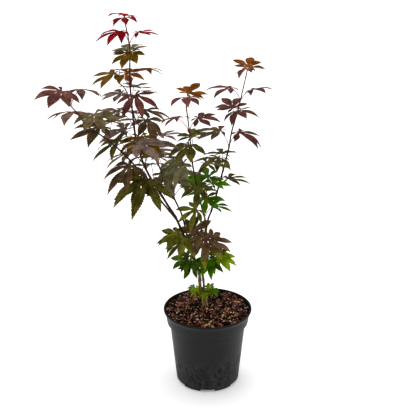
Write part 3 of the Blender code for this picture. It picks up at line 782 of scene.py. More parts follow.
def leaf_on(stem, line, pair, which, nudge):
    """One leaf of an opposite pair, with its own numbers drawn from the stem's seed. Its face
    leans to the light. The nudge turns its petiole about the stem, in degrees."""
    draw = random.Random(stem.seed * 100 + pair * 2 + which)
    age = pair / (stem.pairs - 1)
    opposite = 90 * pair + 180 * which
    turn = math.radians(stem.turn + opposite + draw.uniform(-TURN_PLAY, TURN_PLAY) + nudge)
    rise = math.radians(draw.uniform(*PETIOLE_RISE))
    settle = math.radians(PETIOLE_EASE) / (PETIOLE_STEPS - 1)
    step = mix(stem.petiole, age**4) / PETIOLE_STEPS
    petiole = [line.at(pair_place(stem, line, pair))]
    for k in range(PETIOLE_STEPS):
        petiole.append(petiole[-1] + direction(turn, rise - settle * k) * step)
    yaw = turn + math.radians(draw.uniform(-HEADING_PLAY, HEADING_PLAY))
    play = mix(stem.play, age)
    pitch = math.radians(mix(stem.hang, age) + play * draw.uniform(-PITCH_PLAY, PITCH_PLAY))
    roll = math.radians(play * draw.uniform(-ROLL_PLAY, ROLL_PLAY))
    heading = direction(yaw, pitch)
    level = direction(yaw + math.pi / 2, 0)
    aside = level * math.cos(roll) + np.cross(heading, level) * math.sin(roll)
    normal = unit(np.cross(heading, aside) + mix(stem.lean, age) * LIGHT)
    heading = unit(heading - normal * (heading @ normal))
    length = mix(stem.blade, age**2) * draw.uniform(*SIZE_PLAY)
    droop = draw.uniform(*LEAF_DROOP)
    lobes = []
    for angle, share in LOBES:
        lobe_angle = math.radians(angle + draw.uniform(-LOBE_ANGLE_PLAY, LOBE_ANGLE_PLAY))
        lobe_length = length * share * draw.uniform(*LOBE_LENGTH_PLAY)
        lobe_lift = draw.uniform(*LOBE_LIFT)
        lobe_droop = droop * draw.uniform(*LOBE_DROOP_PLAY)
        lobes.append(Lobe(lobe_angle, lobe_length, lobe_lift, lobe_droop))
    side = np.cross(normal, heading)
    return Leaf(np.array(petiole), petiole[-1], heading, side, normal, length, lobes)


def outward(leaf, angle):
    """The direction out from a leaf's hub at an angle to its heading, and the one to its left."""
    cosine, sine = math.cos(angle), math.sin(angle)
    return leaf.heading * cosine + leaf.side * sine, leaf.side * cosine - leaf.heading * sine


def midrib_height(lobe, share):
    """The midrib rises first and then droops: length * (lift * share - droop * share^2)."""
    return lobe.length * (lobe.lift * share - lobe.droop * share**2)


def sinus_point(leaf, angle, reach, height):
    """The point between two lobes, at an angle and a reach from the hub and a height over it."""
    return leaf.hub + outward(leaf, angle)[0] * reach + leaf.normal * height


def lobe_place(leaf, lobe, share, across=0.0, over=0.0):
    """A point of a lobe: a share of the way along its midrib, a distance to the left of it and
    a distance over it. Its reach shortens a little as it curls."""
    ahead, left = outward(leaf, lobe.angle)
    height = midrib_height(lobe, share) + over
    reach = lobe.length * share * (1 - LOBE_SHORTENING * share**2)
    return leaf.hub + ahead * reach + left * across + leaf.normal * height


def blade(leaf, extra=0.0):
    """A thin closed blade. Its faces share one outline through sinuses, bulges and tips, and part
    at the hub and the midribs of the five large lobes. extra thickens it, for clearance."""
    over_hub = (HUB_THICKNESS + extra) / 2
    over_rib = (RIB_THICKNESS + extra) / 2
    vertices = [leaf.hub + leaf.normal * over_hub, leaf.hub - leaf.normal * over_hub]
    lobes = leaf.lobes
    back = math.radians(BACK_ANGLE)
    sinuses = [sinus_point(leaf, lobes[0].angle - back, lobes[0].length * BACK_SHARE, 0)]
    for low, high in zip(lobes, lobes[1:]):
        reach = SINUS_SHARE * min(low.length, high.length)
        lift = reach * (low.lift + high.lift) / 2
        sinuses.append(sinus_point(leaf, (low.angle + high.angle) / 2, reach, lift))
    sinuses.append(sinus_point(leaf, lobes[-1].angle + back, lobes[-1].length * BACK_SHARE, 0))
    vertices += sinuses
    upper, lower = [], []
    for index, lobe in enumerate(lobes):
        right, left, tip = index + 2, index + 3, len(vertices)
        vertices.append(lobe_place(leaf, lobe, 1.0))
        ring, rib, keel = [right, tip, left], 0, 1
        if 0 < index < len(lobes) - 1:
            wide = BULGE_WIDTH * lobe.length
            for across, over in ((-wide, 0), (wide, 0), (0, over_rib), (0, -over_rib)):
                vertices.append(lobe_place(leaf, lobe, BULGE_SHARE, across, over))
            ring, rib, keel = [right, tip + 1, tip, tip + 2, left], tip + 3, tip + 4
            upper += [(0, right, rib), (0, rib, left)]
            lower += [(1, keel, right), (1, left, keel)]
        upper += [(rib, a, b) for a, b in zip(ring, ring[1:])]
        lower += [(keel, b, a) for a, b in zip(ring, ring[1:])]
    last = len(lobes) + 2
    return vertices, upper + lower + [(0, last, 2), (1, 2, last)]


def petiole_tube(leaf, extra=0.0):
    radii = np.linspace(PETIOLE_RADII[0], PETIOLE_RADII[1], len(leaf.petiole)) + extra
    return tube(leaf.petiole, unit(np.gradient(leaf.petiole, axis=0)), radii, TWIG_SIDES)


def tree_of(shape):
    vertices, faces = shape
    return BVHTree.FromPolygons([tuple(v) for v in vertices], faces)


def fits(leaf, obstacles):
    """A leaf may hang over the pot, not into it, and it keeps clear of every obstacle."""
    shapes = [blade(leaf, 2 * CLEARANCE), petiole_tube(leaf, CLEARANCE)]
    if min(vertex[2] for vertex in shapes[0][0]) < LOWEST_LEAF:
        return False
    return not any(tree_of(shape).overlap(other) for shape in shapes for other in obstacles)


def leaves_of(stem, line, obstacles):
    """The leaves that find room, each turned about the stem by the least nudge that clears it."""
    found = []
    for pair in range(stem.pairs):
        for which in (0, 1):
            tries = (leaf_on(stem, line, pair, which, nudge) for nudge in NUDGES)
            leaf = next((leaf for leaf in tries if fits(leaf, obstacles)), None)
            if leaf:
                found.append((leaf, pair, which))
    return found


def trunk_radius(line, distance):
    """Taper + flare * exp(-distance / fade)."""
    return mix(TRUNK_RADII, distance / line.length) + TRUNK_FLARE * np.exp(-distance / FLARE_FADE)


def trunk_tube(line):
    """The trunk: flared at the ground, with shallow ribs where its stems have grown together.
    Its radius goes up and down with the angle as 1 + depth * cos(ribs * angle)."""
    distance = TRUNK_RINGS * line.length
    ribs = 1 + RIB_DEPTH * np.cos(TRUNK_RIBS * around(TRUNK_SIDES))
    radii = trunk_radius(line, distance)[:, None] * ribs
    ahead = line.ahead(distance)
    ahead[0] = (0, 0, 1)
    return tube(line.at(distance), ahead, radii, TRUNK_SIDES)


def collar_end(stem, line, carrier_line, carrier_radii):
    """The distance along a stem at which it has come clear of its carrier."""
    for distance in np.arange(0, line.length, COLLAR_STEP):
        away = np.linalg.norm(carrier_line.fine - line.at(distance), axis=1)
        nearest = int(np.argmin(away))
        if away[nearest] > carrier_radii[nearest] + stem_radius(stem, line, distance) + CLEARANCE:
            return float(distance)
    raise ValueError("a stem stays inside its carrier")


def grown():
    """Follows the model's rule. Gives {stem: (line, start of the leafy length, leaves)}, with each
    leaf's pair and side, where each stem comes clear of its carrier, and the trunk's line."""
    lines = {name: Line(np.array(stem.path) / 1000) for name, stem in STEMS.items()}
    radii = {name: stem_radius(stem, lines[name], lines[name].run) for name, stem in STEMS.items()}
    lines["trunk"] = Line(TRUNK_PATH)
    radii["trunk"] = trunk_radius(lines["trunk"], lines["trunk"].run) * (1 + RIB_DEPTH)
    limbs = [trunk_tube(lines["trunk"])]
    collars, starts = {}, {}
    for name, stem in STEMS.items():
        line = lines[name]
        collars[name] = collar_end(stem, line, lines[stem.carrier], radii[stem.carrier])
        starts[name] = collars[name] + GAP
        limbs.append(stem_tube(stem, line, 0, collars[name], STEM_SIDES))
        if stem.bare:
            limbs.append(stem_tube(stem, line, starts[name], line.knots[stem.bare], STEM_SIDES))
            starts[name] = line.knots[stem.bare] + GAP
    obstacles = [tree_of(limb) for limb in limbs]
    twigs = {
        name: stem_tube(stem, lines[name], starts[name], lines[name].length, TWIG_SIDES)
        for name, stem in STEMS.items()
    }
    plant = {}
    for name, stem in reversed(STEMS.items()):
        others = [tree_of(twig) for other, twig in twigs.items() if other != name]
        leaves = leaves_of(stem, lines[name], obstacles + others)
        for leaf, _, _ in leaves:
            obstacles += [tree_of(petiole_tube(leaf)), tree_of(blade(leaf))]
        plant[name] = (lines[name], starts[name], leaves)
    return plant, collars, lines["trunk"]


# ---- fine blades
SINUSES = [FINE_SINUS * min(low[1], high[1]) for low, high in zip(LOBES, LOBES[1:])]
SINUS_KNOTS = [0] + sorted(set(SINUSES))
COMMON_ROWS = np.interp(np.arange(2 * len(SINUS_KNOTS) - 1) / 2, range(len(SINUS_KNOTS)), SINUS_KNOTS)


def lobe_side(leaf, index, step, reach, width, fold):
    """One side of a lobe: (half width, free, rise), each an array over its rows. As far as the
    sinus the side follows the middle line to the neighbouring lobe, and it is free beyond:
    length * width * sin(pi * share^LEAN)^POINT * (1 - TAPER * share)."""
    lobe = leaf.lobes[index]
    share = reach / lobe.length
    wave = np.sin(math.pi * np.clip(share, 0, 1) ** WIDTH_LEAN)
    wide = width * np.abs(wave) ** WIDTH_POINT * (1 - WIDTH_TAPER * share)
    free_width = lobe.length * wide
    if not 0 <= index + step < len(leaf.lobes):
        return free_width, (reach > 0).astype(float), fold * free_width
    neighbour = leaf.lobes[index + step]
    sinus = leaf.length * SINUSES[min(index, index + step)]
    slope = math.tan(abs(neighbour.angle - lobe.angle) / 2)
    joined = np.minimum(reach, sinus)
    own, other = [midrib_height(each, joined / each.length) for each in (lobe, neighbour)]
    joined_rise = (other - own) / 2 + RIDGE * joined
    away = ease((reach - sinus) / (SINUS_EASE * lobe.length))
    half_width = mix((joined * slope, free_width), away)
    free = (reach > sinus - 1e-7).astype(float)
    return half_width, free, mix((joined_rise, fold * free_width), away)


def lobe_part(leaf, index, width, draw, slots):
    """One lobe as an upper and a lower grid that meet along the free margin and at the tip. Rows
    run out from the hub; the seven columns are the margins, the middles of the halves, and the
    edges and the crest of the midrib. Margins are toothed, and the halves fold and ripple."""
    lobe = leaf.lobes[index]
    inner = max(SINUSES[k] for k in (index - 1, index) if 0 <= k < len(SINUSES))
    deepest = inner * leaf.length
    common = leaf.length * COMMON_ROWS[COMMON_ROWS < inner + 1e-6]
    rows = LOBE_ROWS[index]
    reach = np.concatenate([common, np.linspace(deepest, lobe.length, rows + 1)[1:]])
    share = reach / lobe.length
    beyond = np.maximum(share - deepest / lobe.length, 0)
    spacing = (lobe.length - deepest) / rows
    fold = draw.uniform(*FOLD_PLAY)
    bend = draw.uniform(-BEND_PLAY, BEND_PLAY)
    curl = draw.uniform(*CURL_PLAY)
    vein = mix(VEIN_HALF_WIDTHS, share) * leaf.length / FULL_BLADE
    peak = np.where((np.arange(len(reach)) - len(common)) % 2 == 0, -1.0, 1.0)
    begun = ease(beyond / MARGIN_START)
    ripple = np.sin(2 * math.pi * SIDE_VEINS * share) * begun
    ripple = SIDE_VEIN_RELIEF * leaf.length / FULL_BLADE * ripple
    columns = []
    for step in (-1, 1):
        half, free, rise = lobe_side(leaf, index, step, reach, width, fold)
        toothed = free * ease((1 - share) / TOOTH_END) * begun
        half = half * (1 + TOOTH * peak * toothed)
        thin_vein = np.minimum(vein, VEIN_SHARE * half)
        near = rise * np.where(half > 0, thin_vein / np.maximum(half, 1e-9), 0) ** FOLD_CURVE
        middle = rise * MIDDLE**FOLD_CURVE + ripple
        lean = TOOTH_LEAN * spacing * np.maximum(peak, 0) * toothed
        none = np.zeros_like(reach)
        side = [
            (step * thin_vein, near, none, none),
            (step * MIDDLE * half, middle, free * MIDDLE_CLOSE, none),
            (step * half, rise, free, lean),
        ]
        columns += side[::step]
        if step < 0:
            columns.append((none, none, none, none))
    across, lifts, closes, shifts = np.transpose(columns, (1, 2, 0))
    across = across + (bend * lobe.length * beyond**2)[:, None]
    out = reach[:, None] + shifts - LOBE_SHORTENING * lobe.length * beyond[:, None] ** 2
    high = midrib_height(lobe, share) - curl * lobe.length * np.maximum(share - CURL_START, 0) ** 2
    high = high[:, None] + lifts
    thick = BLADE_HALF_THICKNESS * (1 - closes) * (1 - share**6)[:, None]
    started = np.minimum(1, reach / (HUB_START * leaf.length))[:, None]
    crest = np.array([0, 0, 0, 1, 0, 0, 0]) * VEIN_DEPTH * (1 - share)[:, None] * started
    ahead, left = outward(leaf, lobe.angle)
    flat = leaf.hub + out[..., None] * ahead + across[..., None] * left
    upper = flat + (high + thick * started - UPPER_CREST * crest)[..., None] * leaf.normal
    lower = flat + (high - thick * started - crest)[..., None] * leaf.normal
    faces = quads(len(reach), 7)
    on_vein = np.isin(np.arange(len(faces)) % 6, (2, 3))
    top, under = slots
    return [
        (upper.reshape(-1, 3), [faces[:, ::-1]], np.where(on_vein, under, top)),
        (lower.reshape(-1, 3), [faces], np.full(len(faces), under)),
    ]


def blade_parts(leaf, age, draw, slots):
    """All the lobes of a leaf; its age runs from 0 at the stem's foot to 1 at its tip."""
    width = mix(HALF_WIDTHS, age) * (1 + draw.uniform(-WIDTH_PLAY, WIDTH_PLAY))
    count = len(leaf.lobes)
    return [part for index in range(count) for part in lobe_part(leaf, index, width, draw, slots)]


# ---- fine limbs, twigs and stalks
def rings(centres, ahead, radii):
    """A grid of rings square to their headings, all turned from one fixed axis."""
    axis = np.eye(3)[np.argmin(np.abs(ahead).max(axis=0))]
    across = unit(axis - ahead * (ahead @ axis)[:, None])
    return ring_grid(centres, across, np.cross(ahead, across), radii)


def bark_relief(distance, sides, seed):
    """Low ridges that wind slowly up a stem: a sum of waves in the angle and the distance."""
    draw = random.Random(seed)
    relief = np.zeros((len(distance), sides))
    for waves, pitch, depth in BARK_WAVES:
        phase = draw.uniform(0, 2 * math.pi)
        relief += depth * np.sin(waves * around(sides) + pitch * distance[:, None] + phase)
    return relief


def joint_swell(distance, joints):
    """A ringed swelling at each joint: a bulge, a narrow groove over it and a second bulge."""
    away = distance[:, None] - joints
    bulges = sum(size * np.exp(-(((away - over) / wide) ** 2)) for size, over, wide in BULGES)
    return 1 + bulges.sum(axis=1)


def fine_stem(name, line, start, end, sides, slot=0):
    """A stretch of a stem, with its ridges, and swollen at its leaf pairs and at the old leaf
    scars on its bare length."""
    stem = STEMS[name]
    leafy = [pair_place(stem, line, pair) for pair in range(stem.pairs)]
    scars = np.arange(FIRST_SCAR, line.knots[stem.bare] - LAST_SCAR, SCAR_SPACING)
    distance = np.linspace(start, end, max(4, round((end - start) / FINE_SPACING)))
    radii = stem_radius(stem, line, distance) * joint_swell(distance, np.concatenate([scars, leafy]))
    radii = radii + TWIG_GROWTH * ease((distance - line.knots[stem.bare]) / TWIG_EASE)
    radii = radii[:, None] * (1 + bark_relief(distance, sides, stem.seed))
    return tube_part(rings(line.at(distance), line.ahead(distance), radii), slot)


def fine_trunk(line):
    """Three stems grown together. Seen from above their outline is that of three circles in a row,
    the greatest of c * cos(angle) + sqrt(a^2 - c^2 * sin(angle)^2), where a is a circle's radius
    and c its place in the row. It ends as a dome, and its grooves take the second slot, a bark
    painted darker as shade in the creases."""
    distance = np.linspace(-TRUNK_SINK, line.length, FINE_TRUNK_RINGS)
    above = np.maximum(distance, 0)
    turns = around(FINE_TRUNK_SIDES) + math.pi / 2
    outline = np.zeros(FINE_TRUNK_SIDES)
    for spot in TRUNK_ROW:
        inside = np.maximum(TRUNK_ROUND**2 - (spot * np.sin(turns)) ** 2, 0)
        outline = np.maximum(outline, (spot * np.cos(turns) + np.sqrt(inside)) * (inside > 0))
    climb = np.maximum(distance / line.length - DOME_START, 0) / (1 - DOME_START)
    dome = np.sqrt(1 - (DOME_CLOSE * climb) ** 2)
    radii = TRUNK_SPREAD * trunk_radius(line, above)[:, None] * outline[None] * dome[:, None]
    radii = radii * (1 + TRUNK_RELIEF * bark_relief(distance, FINE_TRUNK_SIDES, TRUNK_SEED))
    ahead = line.ahead(above)
    ahead[above == 0] = (0, 0, 1)
    centres = line.at(above)
    centres[:, 2] += distance - above
    points, arrays, _ = tube_part(rings(centres, ahead, radii))
    off_groove = np.abs(np.abs(outline * np.cos(turns)) - TRUNK_ROW[-1] / 2)
    # The faces near each groove take the painted shade.
    groove_shaded = (off_groove < GROOVE_SHADE_WIDTH / 2).astype(int)
    return points, arrays, [groove_shaded[np.arange(len(arrays[0])) % FINE_TRUNK_SIDES], 0]


def spindle(foot, heading, length, width):
    """A pointed bud: rings of radius width * sin(pi * share^0.7) along its heading."""
    share = np.linspace(0, 1, 6)[1:-1, None]
    radii = np.repeat(width * np.sin(math.pi * share**0.7), 6, axis=1)
    ahead = np.repeat(heading[None], len(share), axis=0)
    return tube_part(rings(foot + heading * (share * length), ahead, radii), RED_SLOT)


def fine_petiole(leaf, slot, joint_slot):
    """A leaf stalk: it swells where it holds the twig and a little under the blade. Its lowest
    stretch has the joint's colour."""
    line = Line(leaf.petiole)
    distance = np.linspace(STALK_START, line.length, STALK_RINGS)
    foot = 1 + FOOT_SWELL * np.exp(-distance / FOOT_FADE)
    head = 1 + HEAD_SWELL * np.exp(-(line.length - distance) / HEAD_FADE)
    radii = mix(STALK_RADII, distance / line.length) * foot * head
    radii = np.repeat(radii[:, None], STALK_SIDES, axis=1)
    points, arrays, _ = tube_part(rings(line.at(distance), line.ahead(distance), radii))
    ring = np.arange(len(arrays[0])) // STALK_SIDES
    return points, arrays, [np.where(ring < 3, joint_slot, slot), joint_slot]


def make_limbs(plant, collars, trunk_line, bark):
    """The trunk and every bare length, fused to one piece."""
    # The grooves' bark is painted darker, as shade in the creases between the stems.
    groove = shoot_finish("groove_shade_bark", (42, 30, 17), (20, 13, 8))
    limbs = piece("limbs", [fine_trunk(trunk_line)], [bark, groove])
    others = []
    for name, stem in STEMS.items():
        line = plant[name][0]
        end = line.knots[stem.bare] if stem.bare else collars[name]
        others.append(piece(name + "_limb", [fine_stem(name, line, 0, end, FINE_LIMB_SIDES)], [bark]))
    combined(limbs, others, "UNION")
    place(limbs, "stem_bark", "trunk", *[name for name, stem in STEMS.items() if stem.bare])


def make_plant():
    """The limbs, and for each shoot one piece of its twig with its stalks and one of its blades."""
    plant, collars, trunk_line = grown()
    bark = bark_finish()
    make_limbs(plant, collars, trunk_line, bark)
    finishes = leaf_finishes()
    skins = [bark] + [shoot_finish(*skin) for skin in STALK_SKINS]
    for name, stem in STEMS.items():
        line, start, leaves = plant[name]
        young = stem.finish == "green_foliage" and not stem.bare
        slot, joint_slot = (GREEN_SLOT, GREEN_SLOT) if young else (BARK_SLOT, RED_SLOT)
        stalks = [fine_stem(name, line, start, line.length, FINE_TWIG_SIDES, slot)]
        draw = random.Random(stem.seed)
        letters = "".join(stem.shades.split())
        used = sorted(set(letters))
        blades = []
        for leaf, pair, side in leaves:
            letter = letters[2 * pair + side]
            first = 2 * used.index(letter)
            blades += blade_parts(leaf, pair / (stem.pairs - 1), draw, (first, first + 1))
            skin = RED_SLOT if letter in RED_SHADES and pair > stem.pairs / 2 else GREY_SLOT
            skin = GREEN_SLOT if letter in GREEN_SHADES else skin
            stalks.append(fine_petiole(leaf, skin, joint_slot))
            out = unit(leaf.petiole[1] - leaf.petiole[0])
            bud = unit(out + line.ahead(line.length / 2) * BUD_LEAN)
            stalks.append(spindle(leaf.petiole[0] + out * STALK_START, bud, *SIDE_BUD))
        last = line.length - END_BUD_SINK
        stalks.append(spindle(line.at(last), line.ahead(last), *END_BUD))
        twigs = piece(stem.leafy.replace("leaves", "twigs"), stalks, skins)
        place(twigs, "stem_bark", stem.leafy)
        materials = [material for letter in used for material in finishes[letter]]
        sheet = piece(stem.leafy.replace("leaves", "blades"), blades, materials, WELD)
        place(sheet, stem.finish, stem.leafy)


# ---- the pot
def rounded(corners):
    """An outline through (radius, height, rounding) corners. An arc that touches both edges of
    a corner takes its place, cut back where an edge is short."""
    points = np.array(corners, float)
    made = [points[0, :2]]
    for before, (*corner, rounding), after in zip(points, points[1:], points[2:]):
        corner = np.array(corner)
        first, second = before[:2] - corner, after[:2] - corner
        lengths = np.linalg.norm(first), np.linalg.norm(second)
        first, second = first / lengths[0], second / lengths[1]
        half = math.acos(np.clip(first @ second, -1, 1)) / 2
        cut = min(rounding / math.tan(half), EDGE_SHARE * min(lengths)) if half < ALMOST_FLAT else 0
        share = np.linspace(0, 1, ARC_POINTS)[:, None]
        start, end = corner + first * cut, corner + second * cut
        made.extend((1 - share) ** 2 * start + 2 * share * (1 - share) * corner + share**2 * end)
    made.append(points[-1, :2])
    return np.array(made)


def spun(outline, sides):
    """A closed solid from an outline of (radius, height) that begins and ends on the Z axis."""
    turns = around(sides)
    wheel = np.stack([np.cos(turns), np.sin(turns), np.ones(sides)], axis=-1)
    points, arrays, slot = tube_part(outline[1:-1, None, [0, 0, 1]] * wheel)
    points[-2:] = outline[[0, -1]][:, [0, 0, 1]] * (0, 0, 1)
    return points, arrays, slot


def inner_radius(height):
    """The radius inside the wall at a height."""
    heights = (0, BODY_TOP, BAND_FOOT, BAND_TOP, POT_HEIGHT - LIP_BEAD)
    radii = (FOOT_RADIUS, BODY_TOP_RADIUS, BAND_FOOT_RADIUS, BAND_TOP_RADIUS, LIP_INNER + WALL)
    return float(np.interp(height, heights, radii)) - WALL


def pot_outline():
    """From the middle of the underside out, up the wall, over the lip and down the inside."""
    floor_top = FLOOR_UNDERSIDE + FLOOR_THICKNESS
    foot_inner = FOOT_RADIUS - FOOT_WIDTH
    return rounded(
        [
            (0, 0, 0),
            (PAD_RADIUS, 0, 0.0010),
            (PAD_RADIUS + FLOOR_UNDERSIDE / 2, FLOOR_UNDERSIDE, 0.0010),
            (foot_inner - FLOOR_UNDERSIDE / 4, FLOOR_UNDERSIDE, 0.0010),
            (foot_inner, 0, 0.0008),
            (FOOT_RADIUS, 0, FOOT_ROUNDING),
            (BODY_TOP_RADIUS, BODY_TOP, 0.0020),
            (BAND_FOOT_RADIUS, BAND_FOOT, 0.0016),
            (BAND_TOP_RADIUS, BAND_TOP, 0.0060),
            (LIP_RADIUS - LIP_BEAD / 2, POT_HEIGHT - 2.3 * LIP_BEAD, 0.0006),
            (LIP_RADIUS, POT_HEIGHT - 1.9 * LIP_BEAD, 0.0005),
            (LIP_RADIUS, POT_HEIGHT, 0.6 * LIP_BEAD),
            (LIP_INNER, POT_HEIGHT, 0.7 * LIP_BEAD),
            (LIP_INNER - 0.0006, POT_HEIGHT - 2 * LIP_BEAD, 0.0010),
            (BAND_TOP_RADIUS - WALL, BAND_TOP, 0.0040),
            (BAND_FOOT_RADIUS - WALL, BAND_FOOT, 0.0010),
            (BODY_TOP_RADIUS - WALL, BODY_TOP, 0.0010),
            (inner_radius(floor_top), floor_top, 0.0020),
            (0, floor_top, 0),
        ]
    )


def block(name, centre, turn, sizes, rounding):
    """A cutter: a box with rounded upright edges, turned about the Z axis. Its section is the
    superellipse |x|^rounding + |y|^rounding = 1, which is a circle where rounding is 2."""
    wave = np.stack([np.cos(around(CUTTER_SIDES)), np.sin(around(CUTTER_SIDES))], axis=1)
    section = np.sign(wave) * np.abs(wave) ** (2 / rounding) * np.array(sizes[:2]) / 2
    spin = np.array([[math.cos(turn), math.sin(turn)], [-math.sin(turn), math.cos(turn)]])
    flat = section @ spin + np.array(centre[:2])
    levels = centre[2] + sizes[2] * np.array([-0.5, 0.5])
    grid = np.stack([np.column_stack([flat, np.full(CUTTER_SIDES, level)]) for level in levels])
    return piece(name, [tube_part(grid)], [], creased=False)


def make_pot():
    """The pot: one turned shell, with a notch in its foot and a hole in its floor at each drain."""
    pot = piece("pot_shell", [spun(pot_outline(), POT_SIDES)], [pot_finish()])
    cutters = []
    for k in range(DRAINS):
        turn = math.radians(360 * k / DRAINS - 90)
        out = np.array([math.cos(turn), math.sin(turn)])
        foot = (*(out * (FOOT_RADIUS - FOOT_WIDTH / 2)), 0)
        hole = (*(out * DRAIN_RING), FLOOR_UNDERSIDE + FLOOR_THICKNESS / 2)
        notch = (FOOT_WIDTH + 2 * CUTTER_MARGIN, NOTCH_WIDTH, 2 * NOTCH_HEIGHT)
        round_hole = (2 * DRAIN_RADIUS, 2 * DRAIN_RADIUS, FLOOR_THICKNESS + CUTTER_MARGIN)
        cutters.append(block(f"notch_{k}", foot, turn, notch, NOTCH_SQUARENESS))
        cutters.append(block(f"hole_{k}", hole, turn, round_hole, 2))
    combined(pot, cutters, "DIFFERENCE")
    place(pot, "pot_plastic", "pot")


# ---- the compost
def dome(radius):
    """The height of the filling: it rises from the wall to a level seat for the trunk."""
    rim = inner_radius(SOIL_AT_WALL) - GAP
    share = np.clip((rim - radius) / (rim - SOIL_SEAT), 0, 1)
    return SOIL_AT_WALL + (SOIL_TOP - SOIL_AT_WALL) * np.sin(share * math.pi / 2)


def make_bed():
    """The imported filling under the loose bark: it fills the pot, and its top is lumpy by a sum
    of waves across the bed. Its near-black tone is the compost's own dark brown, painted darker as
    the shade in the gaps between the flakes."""
    low = FLOOR_UNDERSIDE + FLOOR_THICKNESS + GAP
    rim = inner_radius(SOIL_AT_WALL) - 2 * GAP
    walls = [
        (0, low),
        (inner_radius(low) - GAP, low),
        (inner_radius(BODY_TOP) - 2 * GAP, BODY_TOP),
        (inner_radius(BAND_FOOT) - 2 * GAP, BAND_FOOT + GAP),
        (inner_radius(BAND_TOP) - 2 * GAP, BAND_TOP),
    ]
    radii = np.linspace(rim, 0, BED_RINGS)
    outline = np.concatenate([walls, np.column_stack([radii, dome(radii) - BED_DEPTH])])
    part = spun(outline, BED_SIDES)
    x, y, z = part[0].T
    lumps = LUMP_HEIGHT * (np.sin(410 * x + 3 * np.sin(170 * y)) + np.sin(370 * y + 3 * np.sin(210 * x)))
    z += np.where(z > SOIL_AT_WALL - BED_EDGE, lumps, 0)
    # Fine compost, painted near black as the shade in the gaps between the flakes.
    bed = piece("compost_bed", [part], [plain_finish("fine_compost_and_gap_shade", (17, 9, 7), (4, 2, 2), 0.95, 420)])
    place(bed, "bark_compost", "compost")


def flakes(draw, angle, lengths, widths, depths, tilt, lift):
    """Broken flakes in an array over flakes, rings, sides and axes. Each has its own length, width
    and depth, with every corner thrown off a little, and its compass angle in the pot."""
    count = len(angle)
    length = mix(lengths, draw.random(count) ** FLAKE_LEAN)
    width = length * mix(widths, draw.random(count))
    depth = width * mix(depths, draw.random(count))
    turns = around(FLAKE_SIDES)
    local = np.empty((count, len(GIRTHS), FLAKE_SIDES, 3))
    local[..., 0] = np.linspace(-0.5, 0.5, len(GIRTHS))[:, None]
    local[..., 1] = GIRTHS[:, None] * np.cos(turns) / 2
    local[..., 2] = GIRTHS[:, None] * np.sin(turns) / 2
    local *= draw.uniform(1 - FLAKE_BREAK, 1 + FLAKE_BREAK, local.shape)
    local *= np.stack([length, width, depth], axis=-1)[:, None, None]
    yaw = draw.uniform(0, 2 * math.pi, count)
    pitch = np.radians(draw.uniform(-tilt, tilt, count))
    roll = np.radians(draw.uniform(-tilt, tilt, count) * ROLL_SHARE)
    for angles, one, other in ((roll, 1, 2), (pitch, 2, 0), (yaw, 0, 1)):
        first, second = local[..., one].copy(), local[..., other].copy()
        cosine, sine = np.cos(angles)[:, None, None], np.sin(angles)[:, None, None]
        local[..., one] = first * cosine - second * sine
        local[..., other] = first * sine + second * cosine
    room = inner_radius(SOIL_AT_WALL) - WALL_ROOM - 0.45 * length * np.cos(pitch)
    radius = np.sqrt(draw.random(count)) * room
    centre = np.stack([radius * np.cos(angle), radius * np.sin(angle)], axis=-1)
    high = dome(radius) + mix(lift, draw.random(count))
    local += np.column_stack([centre, high])[:, None, None]
    away = np.linalg.norm(centre - np.array(TRUNK_PATH[0][:2]), axis=1)
    return local[away > TRUNK_RADII[0] + TRUNK_FLARE + 0.3 * length]


def flake_part(grids, slots):
    """The faces of all the flakes at once: the pattern of one tube, shifted for each."""
    count = len(grids)
    pattern = tube_part(grids[0])[1]
    caps = grids[:, [0, -1]].mean(axis=2)
    points = np.concatenate([grids.reshape(count, -1, 3), caps], axis=1)
    shift = np.arange(count)[:, None, None] * points.shape[1]
    arrays = [(array[None] + shift).reshape(-1, array.shape[1]) for array in pattern]
    kinds = [np.repeat(slots, len(array)) for array in pattern]
    return points.reshape(-1, 3), arrays, kinds


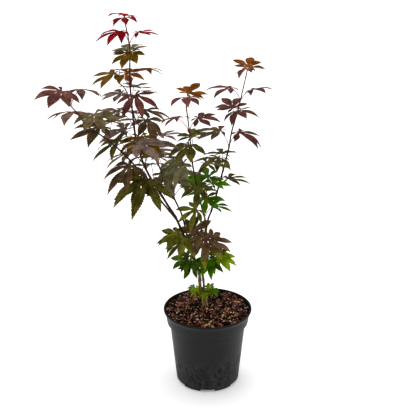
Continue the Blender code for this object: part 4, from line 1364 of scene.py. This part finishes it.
def scatter(name, draw, grids, kinds, finish):
    """One piece of all the flakes, each of a kind drawn by the kinds' shares."""
    picks = draw.choice(len(kinds), len(grids), p=list(kinds.values()))
    tones = [finish(*kind) for kind in kinds]
    obj = piece(name, [flake_part(grids, picks)], tones, creased=False)
    place(obj, "bark_compost", "compost")


def make_compost():
    """The bed, loose bark in five tones, and crumbs of perlite and wood, most of them in front."""
    make_bed()
    draw = np.random.default_rng(11)
    around_pot = draw.uniform(0, 2 * math.pi, CHIPS)
    scatter("bark_chips", draw, flakes(draw, around_pot, *CHIP_SHAPES), BARKS, chip_finish)
    in_front = draw.normal(-math.pi / 2, 1.3, CRUMBS)
    scatter("pale_crumbs", draw, flakes(draw, in_front, *CRUMB_SHAPES), GRAINS, plain_finish)


# ---- floor, light and camera
def make_studio():
    """A white floor, a sky that is white at the horizon and pale grey above it, one broad soft
    light overhead and the camera."""
    bpy.context.scene.view_settings.view_transform = "Standard"
    corners = np.array([(-FLOOR, -FLOOR, 0), (FLOOR, -FLOOR, 0), (FLOOR, FLOOR, 0), (-FLOOR, FLOOR, 0)])
    floor = piece("floor", [(corners, [np.array([[0, 1, 2, 3]])], 0)], [studio_white()], creased=False)
    sky = bpy.data.worlds.new("sky")
    made = Nodes(sky)
    tone = made.step(made.upward(made.node("ShaderNodeTexCoord")), *SKY_RISE, SKY_TONES)
    made.feed(made.tree.nodes["Background"].inputs["Color"], tone)
    bpy.context.scene.world = sky
    lamp = bpy.data.lights.new("soft_top_light", "SUN")
    lamp.energy = LAMP_STRENGTH
    lamp.angle = math.radians(LAMP_SPREAD)
    holder = linked("soft_top_light", lamp)
    holder.rotation_euler = Vector(LAMP_FROM).to_track_quat("Z", "Y").to_euler()
    lens = bpy.data.cameras.new("camera")
    lens.sensor_width = SENSOR_WIDTH
    lens.lens = FOCAL_LENGTH
    camera = linked("camera", lens)
    camera.location = CAMERA_PLACE
    camera.rotation_euler = (math.radians(90 - CAMERA_DIP), 0, 0)
    bpy.context.scene.camera = camera


def studio_white():
    made = Finish("studio_white", 0.9, 0.0)
    made.set("Base Color", (0.93, 0.93, 0.93))
    made.set("Emission Color", (1, 1, 1))
    made.set("Emission Strength", FLOOR_GLOW)
    return made.material


make_studio()
make_pot()
make_compost()
make_plant()
